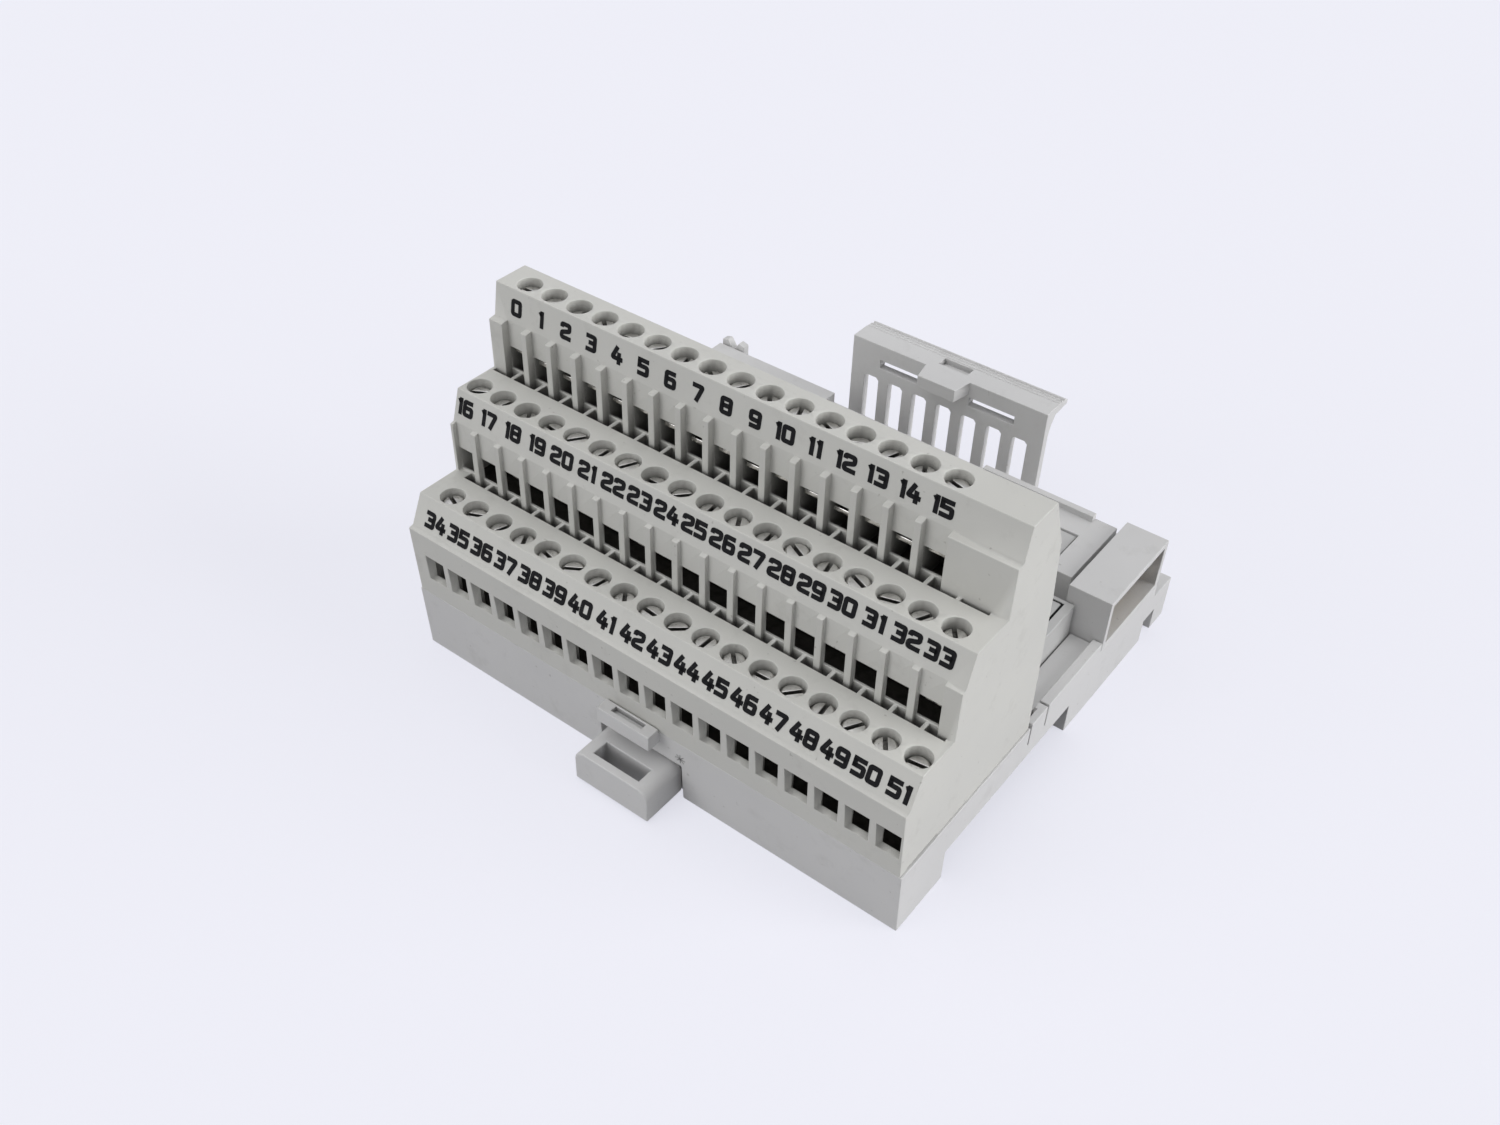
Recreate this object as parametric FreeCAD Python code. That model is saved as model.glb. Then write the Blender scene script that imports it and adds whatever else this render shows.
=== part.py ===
# Three-level screw terminal base that clips on a mounting rail and carries one plug-in module.
# Lengths are in millimetres. The layout starts at the front left foot: x runs along the terminal
# rows, y runs back from the wiring side to the module latch, and z runs up from the resting plane.
# Every piece is shifted at the end, so that the origin is under the middle of the whole object.
import FreeCAD
import Part
import math
import os

Vector = FreeCAD.Vector

# Running clearance between pieces, and a height that clears everything, for cuts that open upwards
GAP = 0.2
ABOVE = 70.0

# Base tray: outside, walls, and levels from the hollow under the floor up to the rims
BASE_WIDTH = 94.0
BASE_DEPTH = 85.0
MIDDLE_X = BASE_WIDTH / 2
FRONT_LEAN = -0.05
WALL = 1.7
HOLLOW_Z = 2.0
HOLLOW_SIDE = 6.0
HOLLOW_YS = (52.0, 76.0)
FLOOR_Z = 8.0
SHELF_Z = 10.6
SHELF_WIDTH = 3.0
SPLIT_Z = 12.5
RIM_Z = 13.0
RIM_FRONT_Y = 35.2
WELL_REAR_Y = 77.6
REAR_Z = 12.5
REAR_WALL_Y = 81.6
CORNER_Z = 8.5
CORNER_WIDTH = 8.0
FOOT_NOTCH_YS = (76.0, 80.0)
FOOT_NOTCH_Z = 4.5
SIDE_SLIT_YS = (34.8, 40.0)
SIDE_SLIT_WIDTH = 0.4
SIDE_SLIT_Z = 8.6
CLIP_RECESS_YS = (36.2, 38.6)
CLIP_RECESS_Z = 11.6
CLIP_RECESS_DEPTH = 0.5

# Mounting rail, 35 mm wide, held between two fixed hooks and the sliding latch
RAIL_FRONT_Y = 12.0
RAIL_REAR_Y = 49.0
RAIL_SEAT_Z = 5.8
HOOK_REACH = 2.2
HOOK_LOW_Z = 1.4
HOOK_TIP_Z = 3.2
HOOK_TOP_Z = 4.6
HOOK_HALF_WIDTH = 7.0
HOOK_OFFSET_X = 28.0

# Rail latch: finger tab, flat blade with a spring window, and the guide that it slides in
TAB_FRONT_Y = -7.3
TAB_REAR_Y = 0.8
TAB_HALF_WIDTH = 7.2
TAB_LOW_Z = 0.4
TAB_TOP_Z = 6.5
TAB_RADIUS = 1.8
TAB_CLEARANCE = 0.9
FINGER_SLOT_HALF = 4.45
FINGER_SLOT_YS = (-5.85, -3.0)
BLADE_HALF_WIDTH = 6.0
BLADE_ZS = (1.2, 4.5)
BLADE_TIP_Y = 14.3
BLADE_SLOPE = 2.3
SPRING_WINDOW_HALF = 2.6
SPRING_WINDOW_YS = (1.3, 10.6)
POST_HALF_WIDTH = 1.8
POST_YS = (1.7, 2.9)
SPRING_HALF_WIDTH = 1.3
SPRING_HALF_THICKNESS = 0.12
SPRING_FOLDS = 6
SPRING_ZS = (1.6, 4.2)

# Prying ledge above the tab, with a groove in its top
LEDGE_XS = (-6.0, 4.2)
LEDGE_FRONT_Y = -3.2
LEDGE_STEP_Y = -0.85
LEDGE_ZS = (10.4, 13.3)
GROOVE_XS = (-3.8, 2.1)
GROOVE_YS = (-2.3, -1.2)
GROOVE_DEPTH = 1.0
ROOT_DEPTH = 0.5

# Terminal block: three stepped rows, level 0 at the front and level 2 at the top
BLOCK_WIDTH = 93.4
BLOCK_X = (BASE_WIDTH - BLOCK_WIDTH) / 2
BLOCK_END_X = BLOCK_X + BLOCK_WIDTH
END_WALL = 0.6
PITCH = 5.08
NEAR_MARGIN = 2.33
FAR_MARGIN = 4.71
ROW_STEP_Z = 14.3
FIRST_TOP_Z = 30.9
ROW_STEP_Y = 10.1
FIRST_HOLE_Y = 4.5
FIRST_EDGE_Y = 1.95
FACE_STEP_Y = 10.8
FIRST_FACE_Y = -0.4
FIN_STEP_Y = 10.25
FIRST_FIN_Y = -0.6
FIN_WIDTH = 1.15
FIN_TOP_DROP = 0.2
FRONT_BULGE_Y = -1.3
LABEL_SLANT = 5.5
BACK_LINE = ((32.2, 50.5), (33.4, 40.0), (34.5, SPLIT_Z))
BACK_TOP_Y = 28.4
END_SLIT_YS = (1.2, 8.7)
END_SLIT_HEIGHT = 0.4

# Screw holes, clamp cells, wire entries, and the pockets that the fins stand in
HOLE_RADIUS = 2.0
HOLE_SIDES = 12
LOW_CELL_FRONT = 3.0
CELL_REAR = 2.3
CELL_TOP_DROP = 6.5
ENTRY_HALF_WIDTH = 2.07
ENTRY_INNER_HALF_WIDTH = 1.5
ENTRY_TOP_DROP = 10.1
LOW_ENTRY_ZS = (16.35, 21.2)
LOW_ENTRY_DEPTH_Y = 0.5
LOW_THROAT_DROP = 2.7
SILL_RISE = 0.25
SILL_THICKNESS = 0.5
POCKET_DEPTH = 3.2
POCKET_FRONT = 0.7
POCKET_SHORTEST = 2.0
STEM_HALF_WIDTH = 0.35

# Clamp screws, pressure plates and contact bars; a few screws of the middle row are nearly flush
SCREW_RADIUS = 1.7
SCREW_LENGTH = 8.5
SCREW_SIDES = 8
SCREW_RECESSES = (1.9, 2.1, 2.2)
RECESS_STEP = 0.2
FLUSH_SCREWS = (4, 6, 12, 14)
FLUSH_LEVEL = 1
FLUSH_RECESS = 0.7
PLATE_HALF_WIDTH = 1.6
PLATE_FRONT = 2.9
PLATE_REAR = 1.4
PLATE_THICKNESS = 0.8
BAR_THICKNESS = 0.7
BAR_FRONT = 2.4
BAR_REAR = 2.2
BAR_SHY = 0.05
TONGUE_DROP = 2.6
UPPER_BAR_HALF_WIDTH = 1.9
COMMON_BAR_OVERHANG = 1.4
COMMON_BAR_WEB_DROP = 3.8
BAR_LEG_HALF_WIDTH = 2.0

# Circuit board and module bay
BOARD_SIDE = 3.2
BOARD_FRONT_Y = 3.0
BOARD_REAR_Y = 77.4
BOARD_TOP_Z = 9.6
DECK_FLOOR_Z = 12.0
DECK_TOP_Z = 20.0
DECK_LEFT_X = 20.0
DECK_RIGHT_X = 85.4
DECK_FRONT_Y = 61.0
DECK_REAR_Y = 77.0
DECK_WALL = 1.2
TAIL_FRONT_Y = 70.0
TAIL_SIDE = 8.4
RIB_XS = (60.0, 81.4)
RIB_YS = (75.6, 76.9)
RIB_RISE = 1.2

# Keying dial
DIAL_X = 17.0
DIAL_Y = 47.0
DIAL_RADIUS = 5.2
DIAL_SIDES = 16
DIAL_LIFT = 0.1
DIAL_TOP_Z = 15.7
DIAL_SLOT_HALF = (3.6, 0.6)
DIAL_SLOT_Z = 14.2
DIAL_POINTER_XS = (3.4, 6.0)
DIAL_POINTER_HALF = 1.2
DIAL_POINTER_Z = 14.9
SHAFT_RADIUS = 3.0
SHAFT_CLEARANCE = 0.08
SHAFT_LENGTH = 2.2

# Field connector behind the block and bus connector in the deck
BLADE_HALF = (0.6, 0.25)
FIELD_XS = (30.0, 88.2)
FIELD_YS = (46.0, 57.6)
FIELD_TOP_Z = 18.0
FIELD_SLOT_XS = (32.0, 84.6)
FIELD_SLOT_HALF = 0.9
FIELD_ROW_YS = (49.2, 53.7)
FIELD_CONTACT_XS = [36.0 + 9.0 * i for i in range(6)]
FIELD_CONTACT_TOP_Z = 16.8
FRAME_LINE = 0.4
FRAME_LINE_INSET = 1.5
FRAME_LINE_DEPTH = 0.4
MODULE_XS = (38.0, 81.0)
MODULE_YS = (63.5, 71.0)
MODULE_SINK = 0.3
MODULE_SLOT_XS = (40.0, 79.0)
MODULE_SLOT_YS = (65.4, 69.1)
MODULE_ROW_YS = (66.2, 68.3)
MODULE_CONTACT_XS = [43.0 + 11.0 * i for i in range(4)]
MODULE_CONTACT_TOP_Z = 18.6

# Bus between neighbouring bases: header box at the right, sliding connector in the tunnel at the left
BUS_FRONT_Y = 57.9
BUS_REAR_Y = 78.1
BUS_MIDDLE_Y = (BUS_FRONT_Y + BUS_REAR_Y) / 2
BUS_TOP_Z = 21.2
BUS_PITCH = 1.8
BUS_POLES = 8
BUS_ROW_ZS = (15.0, 17.4)
SHROUD_X = 86.4
SHROUD_WALL = 1.1
SHROUD_FOOT_Z = 11.0
SHROUD_FOOT_X = 90.6
PIN_HALF = 0.3
PIN_XS = (86.9, 91.6)
TUNNEL_END_X = 27.0
TUNNEL_HALF_WIDTH = 7.8
TUNNEL_ZS = (12.4, 19.8)
RIBBON_WINDOW_XS = (18.4, 25.6)
RIBBON_HALF_WIDTH = 5.5
RIBBON_HALF_THICKNESS = 0.15
RIBBON_JOINT_ZS = (17.5, 15.5)
RIBBON_BENDS = ((19.0, 13.0), (20.8, 11.0))
RIBBON_LAND_XS = (22.5, 24.6)
PLUG_XS = (0.6, 18.0)
PLUG_HALF_WIDTH = 7.5
PLUG_ZS = (12.5, 19.5)
PIN_SLOT_DEPTH_X = 10.0
PIN_SLOT_HALF = (7.0, 0.8)
SOCKET_XS = (6.0, 10.0)
SOCKET_HALF = 0.4
ARM_XS = (1.2, 5.0)
ARM_ZS = (15.0, 17.0)
FINGER_YS = (78.5, 80.0)
FINGER_XS = (0.2, 5.4)
FINGER_SHOULDER_Z = 21.9
FINGER_TIP_Z = 22.3
FORK_Z = 20.4

# Module latch: slotted plate on two pivot studs, with a rear lip and a front hook on top
LATCH_HALF_WIDTH = 20.0
LATCH_FACE_Y = 83.0
LATCH_THICKNESS = 1.6
LATCH_TOP_Z = 31.4
LATCH_REAR_Y = 90.2
LIP_STEP_Y = 87.3
LIP_THICKNESS = 1.6
PIVOT_Y = 83.3
PIVOT_Z = 10.4
PIVOT_RADIUS = 1.1
PIVOT_CLEARANCE = 0.08
STUD_LENGTH = 2.4
LATCH_SIDE_GAP = 0.4
LATCH_OPENING_Z = 5.5
LATCH_SLOTS = 7
LATCH_SLOT_PITCH = 5.18
LATCH_SLOT_HALF = 1.5
LATCH_SLOT_ZS = (13.5, 24.3)
LATCH_SLOT_CORNER = 0.5
LATCH_FOOT_HALF = 1.2
LATCH_FOOT_FLAT = 0.5
LATCH_HEEL_RISE = 2.0
FLARE_DEPTH = 0.6
FLARE_DROPS = (3.5, 1.5)
LIP_EDGE_DROPS = (1.3, 0.5)
GRIP_STEP = 0.15
GRIP_WIDTH = 1.4
SLIT_XS = (4.8, 13.9)
SLIT_ZS = (26.6, 28.3)
CATCH_FRONT_Y = 79.1
CATCH_ROOT_DEPTH = 0.5
CATCH_ROOT_HALF = 4.7
CATCH_TIP_HALF = 3.8
CATCH_LOW_Z = 28.9
TOP_POCKET_HALF = 2.9
TOP_POCKET_YS = (84.8, 87.0)
TOP_POCKET_DEPTH = 1.1

ORIGIN = Vector(MIDDLE_X, (TAB_FRONT_Y + LATCH_REAR_Y) / 2, 0)


def box(low, high):
    """Block between two corners."""
    size = [b - a for a, b in zip(low, high)]
    return Part.makeBox(*size, Vector(*low))


def prism(points, along):
    """Solid swept from a closed outline of points along a vector."""
    return Part.Face(Part.makePolygon(points + points[:1])).extrude(Vector(*along))


def prism_x(outline, x0, x1):
    """Outline of (y, z) points carried along x."""
    return prism([Vector(x0, y, z) for y, z in outline], (x1 - x0, 0, 0))


def prism_y(outline, y0, y1):
    """Outline of (x, z) points carried along y."""
    return prism([Vector(x, y0, z) for x, z in outline], (0, y1 - y0, 0))


def prism_z(outline, z0, z1):
    """Outline of (x, y) points carried along z."""
    return prism([Vector(x, y, z0) for x, y in outline], (0, 0, z1 - z0))


def many_sided(x, y, radius, sides, z0, z1):
    """Upright many-sided bar, used for what repeats in every terminal."""
    turns = [2 * math.pi * i / sides for i in range(sides)]
    return prism_z([(x + radius * math.cos(t), y + radius * math.sin(t)) for t in turns], z0, z1)


def rod_x(y, z, radius, x0, x1):
    """Round bar along x."""
    return Part.makeCylinder(radius, x1 - x0, Vector(x0, y, z), Vector(1, 0, 0))


def funnel(x, outer_y, inner_y, outer, inner):
    """Four-sided funnel along y between two (half width, low z, high z) mouths centred on x."""
    half, low, high = outer
    half2, low2, high2 = inner
    return Part.makeWedge(x - half, outer_y, low, low2, x - half2, x + half, inner_y, high, high2, x + half2)


def strip_outline(line, half):
    """Closed outline of a strip of even thickness along a line of points, mitred at its bends."""
    normals = []
    for (u0, v0), (u1, v1) in zip(line, line[1:]):
        length = math.hypot(u1 - u0, v1 - v0)
        normals.append((-(v1 - v0) / length, (u1 - u0) / length))
    one_side, other_side = [], []
    for (u, v), (nu, nv), (mu, mv) in zip(line, normals[:1] + normals, normals + normals[-1:]):
        reach = half / (1 + nu * mu + nv * mv)
        one_side.append((u + (nu + mu) * reach, v + (nv + mv) * reach))
        other_side.append((u - (nu + mu) * reach, v - (nv + mv) * reach))
    return one_side + other_side[::-1]


class Row:
    """One level of terminals: where its screws stand and how its front face steps."""

    def __init__(self, name, level, margin, count):
        self.name = name
        self.level = level
        self.xs = [BLOCK_X + margin + PITCH * i for i in range(count)]
        self.top_z = FIRST_TOP_Z + ROW_STEP_Z * level
        self.foot_z = self.top_z - ROW_STEP_Z
        self.hole_y = FIRST_HOLE_Y + ROW_STEP_Y * level
        self.edge_y = FIRST_EDGE_Y + ROW_STEP_Y * level
        self.face_y = FIRST_FACE_Y + FACE_STEP_Y * level
        self.fin_y = FIRST_FIN_Y + FIN_STEP_Y * level
        lean = self.edge_y - self.face_y
        self.label_foot_z = self.top_z - math.sqrt(LABEL_SLANT ** 2 - lean ** 2)
        self.cell_rear = self.hole_y + CELL_REAR
        self.cell_top = self.top_z - CELL_TOP_DROP
        if level:
            self.cell_front = self.face_y + SILL_THICKNESS
            self.entry_low = self.foot_z + SILL_RISE
            self.entry_top = self.top_z - ENTRY_TOP_DROP
        else:
            self.cell_front = self.hole_y - LOW_CELL_FRONT
            self.entry_low, self.entry_top = LOW_ENTRY_ZS

    def recess(self, i):
        """Depth of screw i below the top face, uneven as the last wiring left it."""
        if self.level == FLUSH_LEVEL and i in FLUSH_SCREWS:
            return FLUSH_RECESS
        return SCREW_RECESSES[self.level] + RECESS_STEP * ((i * 7) % 5 - 2)

    def screw_foot(self, i):
        return self.top_z - self.recess(i) - SCREW_LENGTH

    def gap(self, i):
        """Left and right side of the gap between two fins in front of terminal i."""
        half = (PITCH - FIN_WIDTH) / 2
        x = self.xs[0] + PITCH * i
        return max(x - half, BLOCK_X + END_WALL), min(x + half, BLOCK_END_X - END_WALL)


LOWER = Row("lower_row", 0, FAR_MARGIN, 18)
MIDDLE = Row("middle_row", 1, NEAR_MARGIN, 18)
UPPER = Row("upper_row", 2, FAR_MARGIN, 16)
ROWS = (LOWER, MIDDLE, UPPER)


def block_body():
    """Stepped block: leaning label faces above upright faces, sloped and drafted at the back."""
    outline = [(FRONT_LEAN * SPLIT_Z, SPLIT_Z), (FRONT_BULGE_Y, LOWER.label_foot_z - FIN_TOP_DROP)]
    for row in ROWS:
        if row.level:
            outline += [(row.fin_y, row.foot_z), (row.fin_y, row.label_foot_z - FIN_TOP_DROP)]
        outline += [(row.face_y, row.label_foot_z), (row.edge_y, row.top_z)]
    outline += [(BACK_TOP_Y, UPPER.top_z), *BACK_LINE]
    return prism_x(outline, BLOCK_X, BLOCK_END_X)


def row_notches(row):
    """Gaps between the fins of a raised row, and the wire entries at their back, over a low sill."""
    front = row.fin_y - 1
    top = row.label_foot_z + FIN_TOP_DROP
    notches = []
    for i in range(len(row.xs)):
        left, right = row.gap(i)
        notches.append(box((left, front, row.foot_z), (right, row.face_y, top)))
        notches.append(box((left, front, row.entry_low), (right, row.cell_front, row.entry_top)))
    return notches


def row_pockets(row):
    """Pockets in the step below a raised row: each runs round the foot of one fin, from stem to stem."""
    floor = row.foot_z - POCKET_DEPTH
    front = row.fin_y - POCKET_FRONT
    pockets = []
    for i in range(-1, len(row.xs) + 1):
        stem = row.xs[0] + PITCH * i
        left = max(stem + STEM_HALF_WIDTH, BLOCK_X + END_WALL)
        right = min(stem + PITCH - STEM_HALF_WIDTH, BLOCK_END_X - 2 * END_WALL)
        if right - left < POCKET_SHORTEST:
            continue
        pockets.append(box((left, front, floor), (right, row.fin_y, row.foot_z + 1)))
        if 0 <= i < len(row.xs):
            pockets.append(box((left, row.fin_y, floor), (row.gap(i)[1], row.face_y, row.foot_z)))
        if i + 1 < len(row.xs):
            pockets.append(box((row.gap(i + 1)[0], row.fin_y, floor), (right, row.face_y, row.foot_z)))
    return pockets


def low_entries():
    """Tapered wire entries in the front face of the lowest row, each with a throat to its clamp cell."""
    row = LOWER
    outer = (ENTRY_HALF_WIDTH, row.entry_low, row.entry_top)
    inner = (ENTRY_INNER_HALF_WIDTH, row.entry_low, row.entry_top - GAP)
    throat_z = row.entry_low - LOW_THROAT_DROP
    spaces = []
    for i, x in enumerate(row.xs):
        left, right = row.gap(i)
        spaces.append(funnel(x, FRONT_BULGE_Y, LOW_ENTRY_DEPTH_Y, outer, inner))
        spaces.append(box((left, LOW_ENTRY_DEPTH_Y, throat_z), (right, row.cell_front, row.entry_top)))
    return spaces


def row_cells(row):
    """Screw holes over the clamp cells, which are open below so that bars go in from the base side.

    Each upper terminal has a shaft of its own. A lower row has one trough, because its bar is common.
    """
    top = row.cell_top
    last = len(row.xs) - 1
    holes = [many_sided(x, row.hole_y, HOLE_RADIUS, HOLE_SIDES, top - 1, row.top_z + 1) for x in row.xs]
    spans = [row.gap(i) for i in range(last + 1)] if row is UPPER else [(row.gap(0)[0], row.gap(last)[1])]
    for left, right in spans:
        holes.append(box((left, row.cell_front, SPLIT_Z - 1), (right, row.cell_rear, top)))
    return holes


def end_slits():
    """Open stretch of the joint between block and base at both ends."""
    front, rear = END_SLIT_YS
    slits = []
    for x in (BLOCK_X, BLOCK_END_X):
        low = (x - END_WALL / 2, front, SPLIT_Z - 1)
        slits.append(box(low, (x + END_WALL / 2, rear, SPLIT_Z + END_SLIT_HEIGHT)))
    return slits


def terminal_housing():
    """Moulded block with its holes, cells, fins, sills and wire entries."""
    spaces = low_entries() + end_slits()
    for row in ROWS:
        spaces += row_cells(row)
        if row.level:
            spaces += row_notches(row) + row_pockets(row)
    return block_body().cut(spaces).removeSplitter()


def screws(row):
    """Headless clamp screws, one above each pressure plate."""
    group = []
    for i, x in enumerate(row.xs):
        foot = row.screw_foot(i)
        group.append(many_sided(x, row.hole_y, SCREW_RADIUS, SCREW_SIDES, foot, foot + SCREW_LENGTH))
    return Part.makeCompound(group)


def clamps(row):
    """Pressure plates, one under each screw, that press the wire down on its bar."""
    plates = []
    for i, x in enumerate(row.xs):
        top = row.screw_foot(i)
        low = (x - PLATE_HALF_WIDTH, row.hole_y - PLATE_FRONT, top - PLATE_THICKNESS)
        plates.append(box(low, (x + PLATE_HALF_WIDTH, row.hole_y + PLATE_REAR, top)))
    return Part.makeCompound(plates)


def clamp_bar(row, leg_low, x0, x1):
    """Bent contact bar: a bridge that the screw threads through, a tongue under the wire, and a leg."""
    back = row.hole_y + BAR_REAR
    leg_y = back - BAR_THICKNESS
    front = row.hole_y - BAR_FRONT
    tongue_top = row.entry_low - TONGUE_DROP
    bridge_top = row.cell_top - BAR_SHY
    outline = [(leg_y, leg_low), (back, leg_low), (back, bridge_top), (front, bridge_top)]
    outline += [(front, bridge_top - BAR_THICKNESS), (leg_y, bridge_top - BAR_THICKNESS)]
    outline += [(leg_y, tongue_top), (front, tongue_top)]
    outline += [(front, tongue_top - BAR_THICKNESS), (leg_y, tongue_top - BAR_THICKNESS)]
    return prism_x(outline, x0, x1)


def upper_row_bars():
    """Separate contact bars of the upper row, each standing on the circuit board."""
    half = UPPER_BAR_HALF_WIDTH
    return Part.makeCompound([clamp_bar(UPPER, BOARD_TOP_Z, x - half, x + half) for x in UPPER.xs])


def common_bar(row):
    """Contact bar that joins all terminals of a lower row and stands on three legs."""
    web_low = row.entry_low - COMMON_BAR_WEB_DROP
    back = row.hole_y + BAR_REAR
    bar = clamp_bar(row, web_low, row.xs[0] - COMMON_BAR_OVERHANG, row.xs[-1] + COMMON_BAR_OVERHANG)
    legs = []
    for x in row.xs[2::6]:
        low = (x - BAR_LEG_HALF_WIDTH, back - BAR_THICKNESS, BOARD_TOP_Z)
        legs.append(box(low, (x + BAR_LEG_HALF_WIDTH, back, web_low)))
    return bar.fuse(legs).removeSplitter()


def tray_body():
    """Side profile of the tray with the rail channel below, carried over the whole width."""
    outline = [(0, 0), (RAIL_FRONT_Y, 0), (RAIL_FRONT_Y, RAIL_SEAT_Z), (RAIL_REAR_Y, RAIL_SEAT_Z),
               (RAIL_REAR_Y, 0), (BASE_DEPTH, 0), (BASE_DEPTH, REAR_Z), (BUS_FRONT_Y, REAR_Z),
               (BUS_FRONT_Y, RIM_Z), (RIM_FRONT_Y, RIM_Z), (RIM_FRONT_Y, SPLIT_Z),
               (FRONT_LEAN * SPLIT_Z, SPLIT_Z)]
    return prism_x(outline, 0, BASE_WIDTH)


def tray_spaces():
    """Board well, bay, hollow under the floor, and the rear opening of the module latch."""
    right = BASE_WIDTH
    hollow_front, hollow_rear = HOLLOW_YS
    latch_half = LATCH_HALF_WIDTH + LATCH_SIDE_GAP
    stud_reach = LATCH_HALF_WIDTH + STUD_LENGTH + LATCH_SIDE_GAP
    tail_side = TAIL_SIDE - GAP
    bus_low, bus_high = BUS_FRONT_Y - GAP, BUS_REAR_Y + GAP
    return [
        box((SHELF_WIDTH, WALL, FLOOR_Z), (right - SHELF_WIDTH, WELL_REAR_Y, SHELF_Z)),
        box((WALL, WALL, SHELF_Z), (right - WALL, WELL_REAR_Y, ABOVE)),
        box((tail_side, TAIL_FRONT_Y, FLOOR_Z), (right - tail_side, REAR_WALL_Y, ABOVE)),
        box((HOLLOW_SIDE, hollow_front, HOLLOW_Z), (right - HOLLOW_SIDE, hollow_rear, FLOOR_Z)),
        box((SHROUD_X, bus_low, SHROUD_FOOT_Z), (right + 1, bus_high, ABOVE)),
        box((-1, bus_low, SHELF_Z), (TAIL_SIDE, bus_high, ABOVE)),
        box((MIDDLE_X - latch_half, REAR_WALL_Y, LATCH_OPENING_Z),
            (MIDDLE_X + latch_half, BASE_DEPTH, ABOVE)),
        rod_x(PIVOT_Y, PIVOT_Z, PIVOT_RADIUS + PIVOT_CLEARANCE,
              MIDDLE_X - stud_reach, MIDDLE_X + stud_reach),
    ]


def side_spaces():
    """Lowered rear corners, foot notches, slits and clip recesses of both side walls."""
    notch_front, notch_rear = FOOT_NOTCH_YS
    clip_front, clip_rear = CLIP_RECESS_YS
    spaces = []
    for x in (0, BASE_WIDTH):
        corner = (x - CORNER_WIDTH, BUS_REAR_Y + GAP, CORNER_Z)
        spaces.append(box(corner, (x + CORNER_WIDTH, BASE_DEPTH, ABOVE)))
        spaces.append(box((x - WALL, notch_front, -1), (x + WALL, notch_rear, FOOT_NOTCH_Z)))
        for y in SIDE_SLIT_YS:
            spaces.append(box((x - WALL, y, SIDE_SLIT_Z), (x + WALL, y + SIDE_SLIT_WIDTH, ABOVE)))
    for x in (WALL, BASE_WIDTH - WALL):
        low = (x - CLIP_RECESS_DEPTH, clip_front, CLIP_RECESS_Z)
        spaces.append(box(low, (x + CLIP_RECESS_DEPTH, clip_rear, ABOVE)))
    return spaces


def latch_guide_spaces():
    """Front notch, flat tunnel and loading window of the rail latch."""
    notch = TAB_HALF_WIDTH + TAB_CLEARANCE
    tunnel = BLADE_HALF_WIDTH + GAP
    window = SPRING_WINDOW_HALF + GAP
    blade_low, blade_top = BLADE_ZS
    post_rear = POST_YS[1]
    window_rear = SPRING_WINDOW_YS[1] + 3 * GAP
    notch_top = TAB_TOP_Z + TAB_CLEARANCE
    return [
        box((MIDDLE_X - notch, TAB_FRONT_Y, -1), (MIDDLE_X + notch, TAB_REAR_Y + 2 * GAP, notch_top)),
        box((MIDDLE_X - tunnel, TAB_REAR_Y, blade_low - GAP),
            (MIDDLE_X + tunnel, RAIL_FRONT_Y, blade_top + GAP)),
        box((MIDDLE_X - window, post_rear, -1), (MIDDLE_X + window, window_rear, blade_low)),
    ]


def tray_additions():
    """Fixed rail hooks, spring post of the rail latch and the prying ledge above its tab."""
    root = RAIL_REAR_Y + ROOT_DEPTH
    tip = RAIL_REAR_Y - HOOK_REACH
    hook = [(root, HOOK_LOW_Z), (tip, HOOK_TIP_Z), (tip, HOOK_TOP_Z), (root, HOOK_TOP_Z)]
    additions = []
    for x in (MIDDLE_X - HOOK_OFFSET_X, MIDDLE_X + HOOK_OFFSET_X):
        additions.append(prism_x(hook, x - HOOK_HALF_WIDTH, x + HOOK_HALF_WIDTH))
    post_low, post_top = BLADE_ZS[0] - 4 * GAP, BLADE_ZS[1] + 3 * GAP
    post_front, post_rear = POST_YS
    additions.append(box((MIDDLE_X - POST_HALF_WIDTH, post_front, post_low),
                         (MIDDLE_X + POST_HALF_WIDTH, post_rear, post_top)))
    low, top = LEDGE_ZS
    outline = [(ROOT_DEPTH, low), (LEDGE_FRONT_Y, low), (LEDGE_FRONT_Y, top), (LEDGE_STEP_Y, top),
               (LEDGE_STEP_Y, SPLIT_Z), (ROOT_DEPTH, SPLIT_Z)]
    ledge = prism_x(outline, MIDDLE_X + LEDGE_XS[0], MIDDLE_X + LEDGE_XS[1])
    groove = box((MIDDLE_X + GROOVE_XS[0], GROOVE_YS[0], top - GROOVE_DEPTH),
                 (MIDDLE_X + GROOVE_XS[1], GROOVE_YS[1], ABOVE))
    additions.append(ledge.cut(groove))
    return additions


def base_housing():
    """Moulded tray with rail channel, latch guide, side rims, rear wall and front ledge."""
    spaces = tray_spaces() + side_spaces() + latch_guide_spaces()
    return tray_body().cut(spaces).fuse(tray_additions()).removeSplitter()


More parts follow.
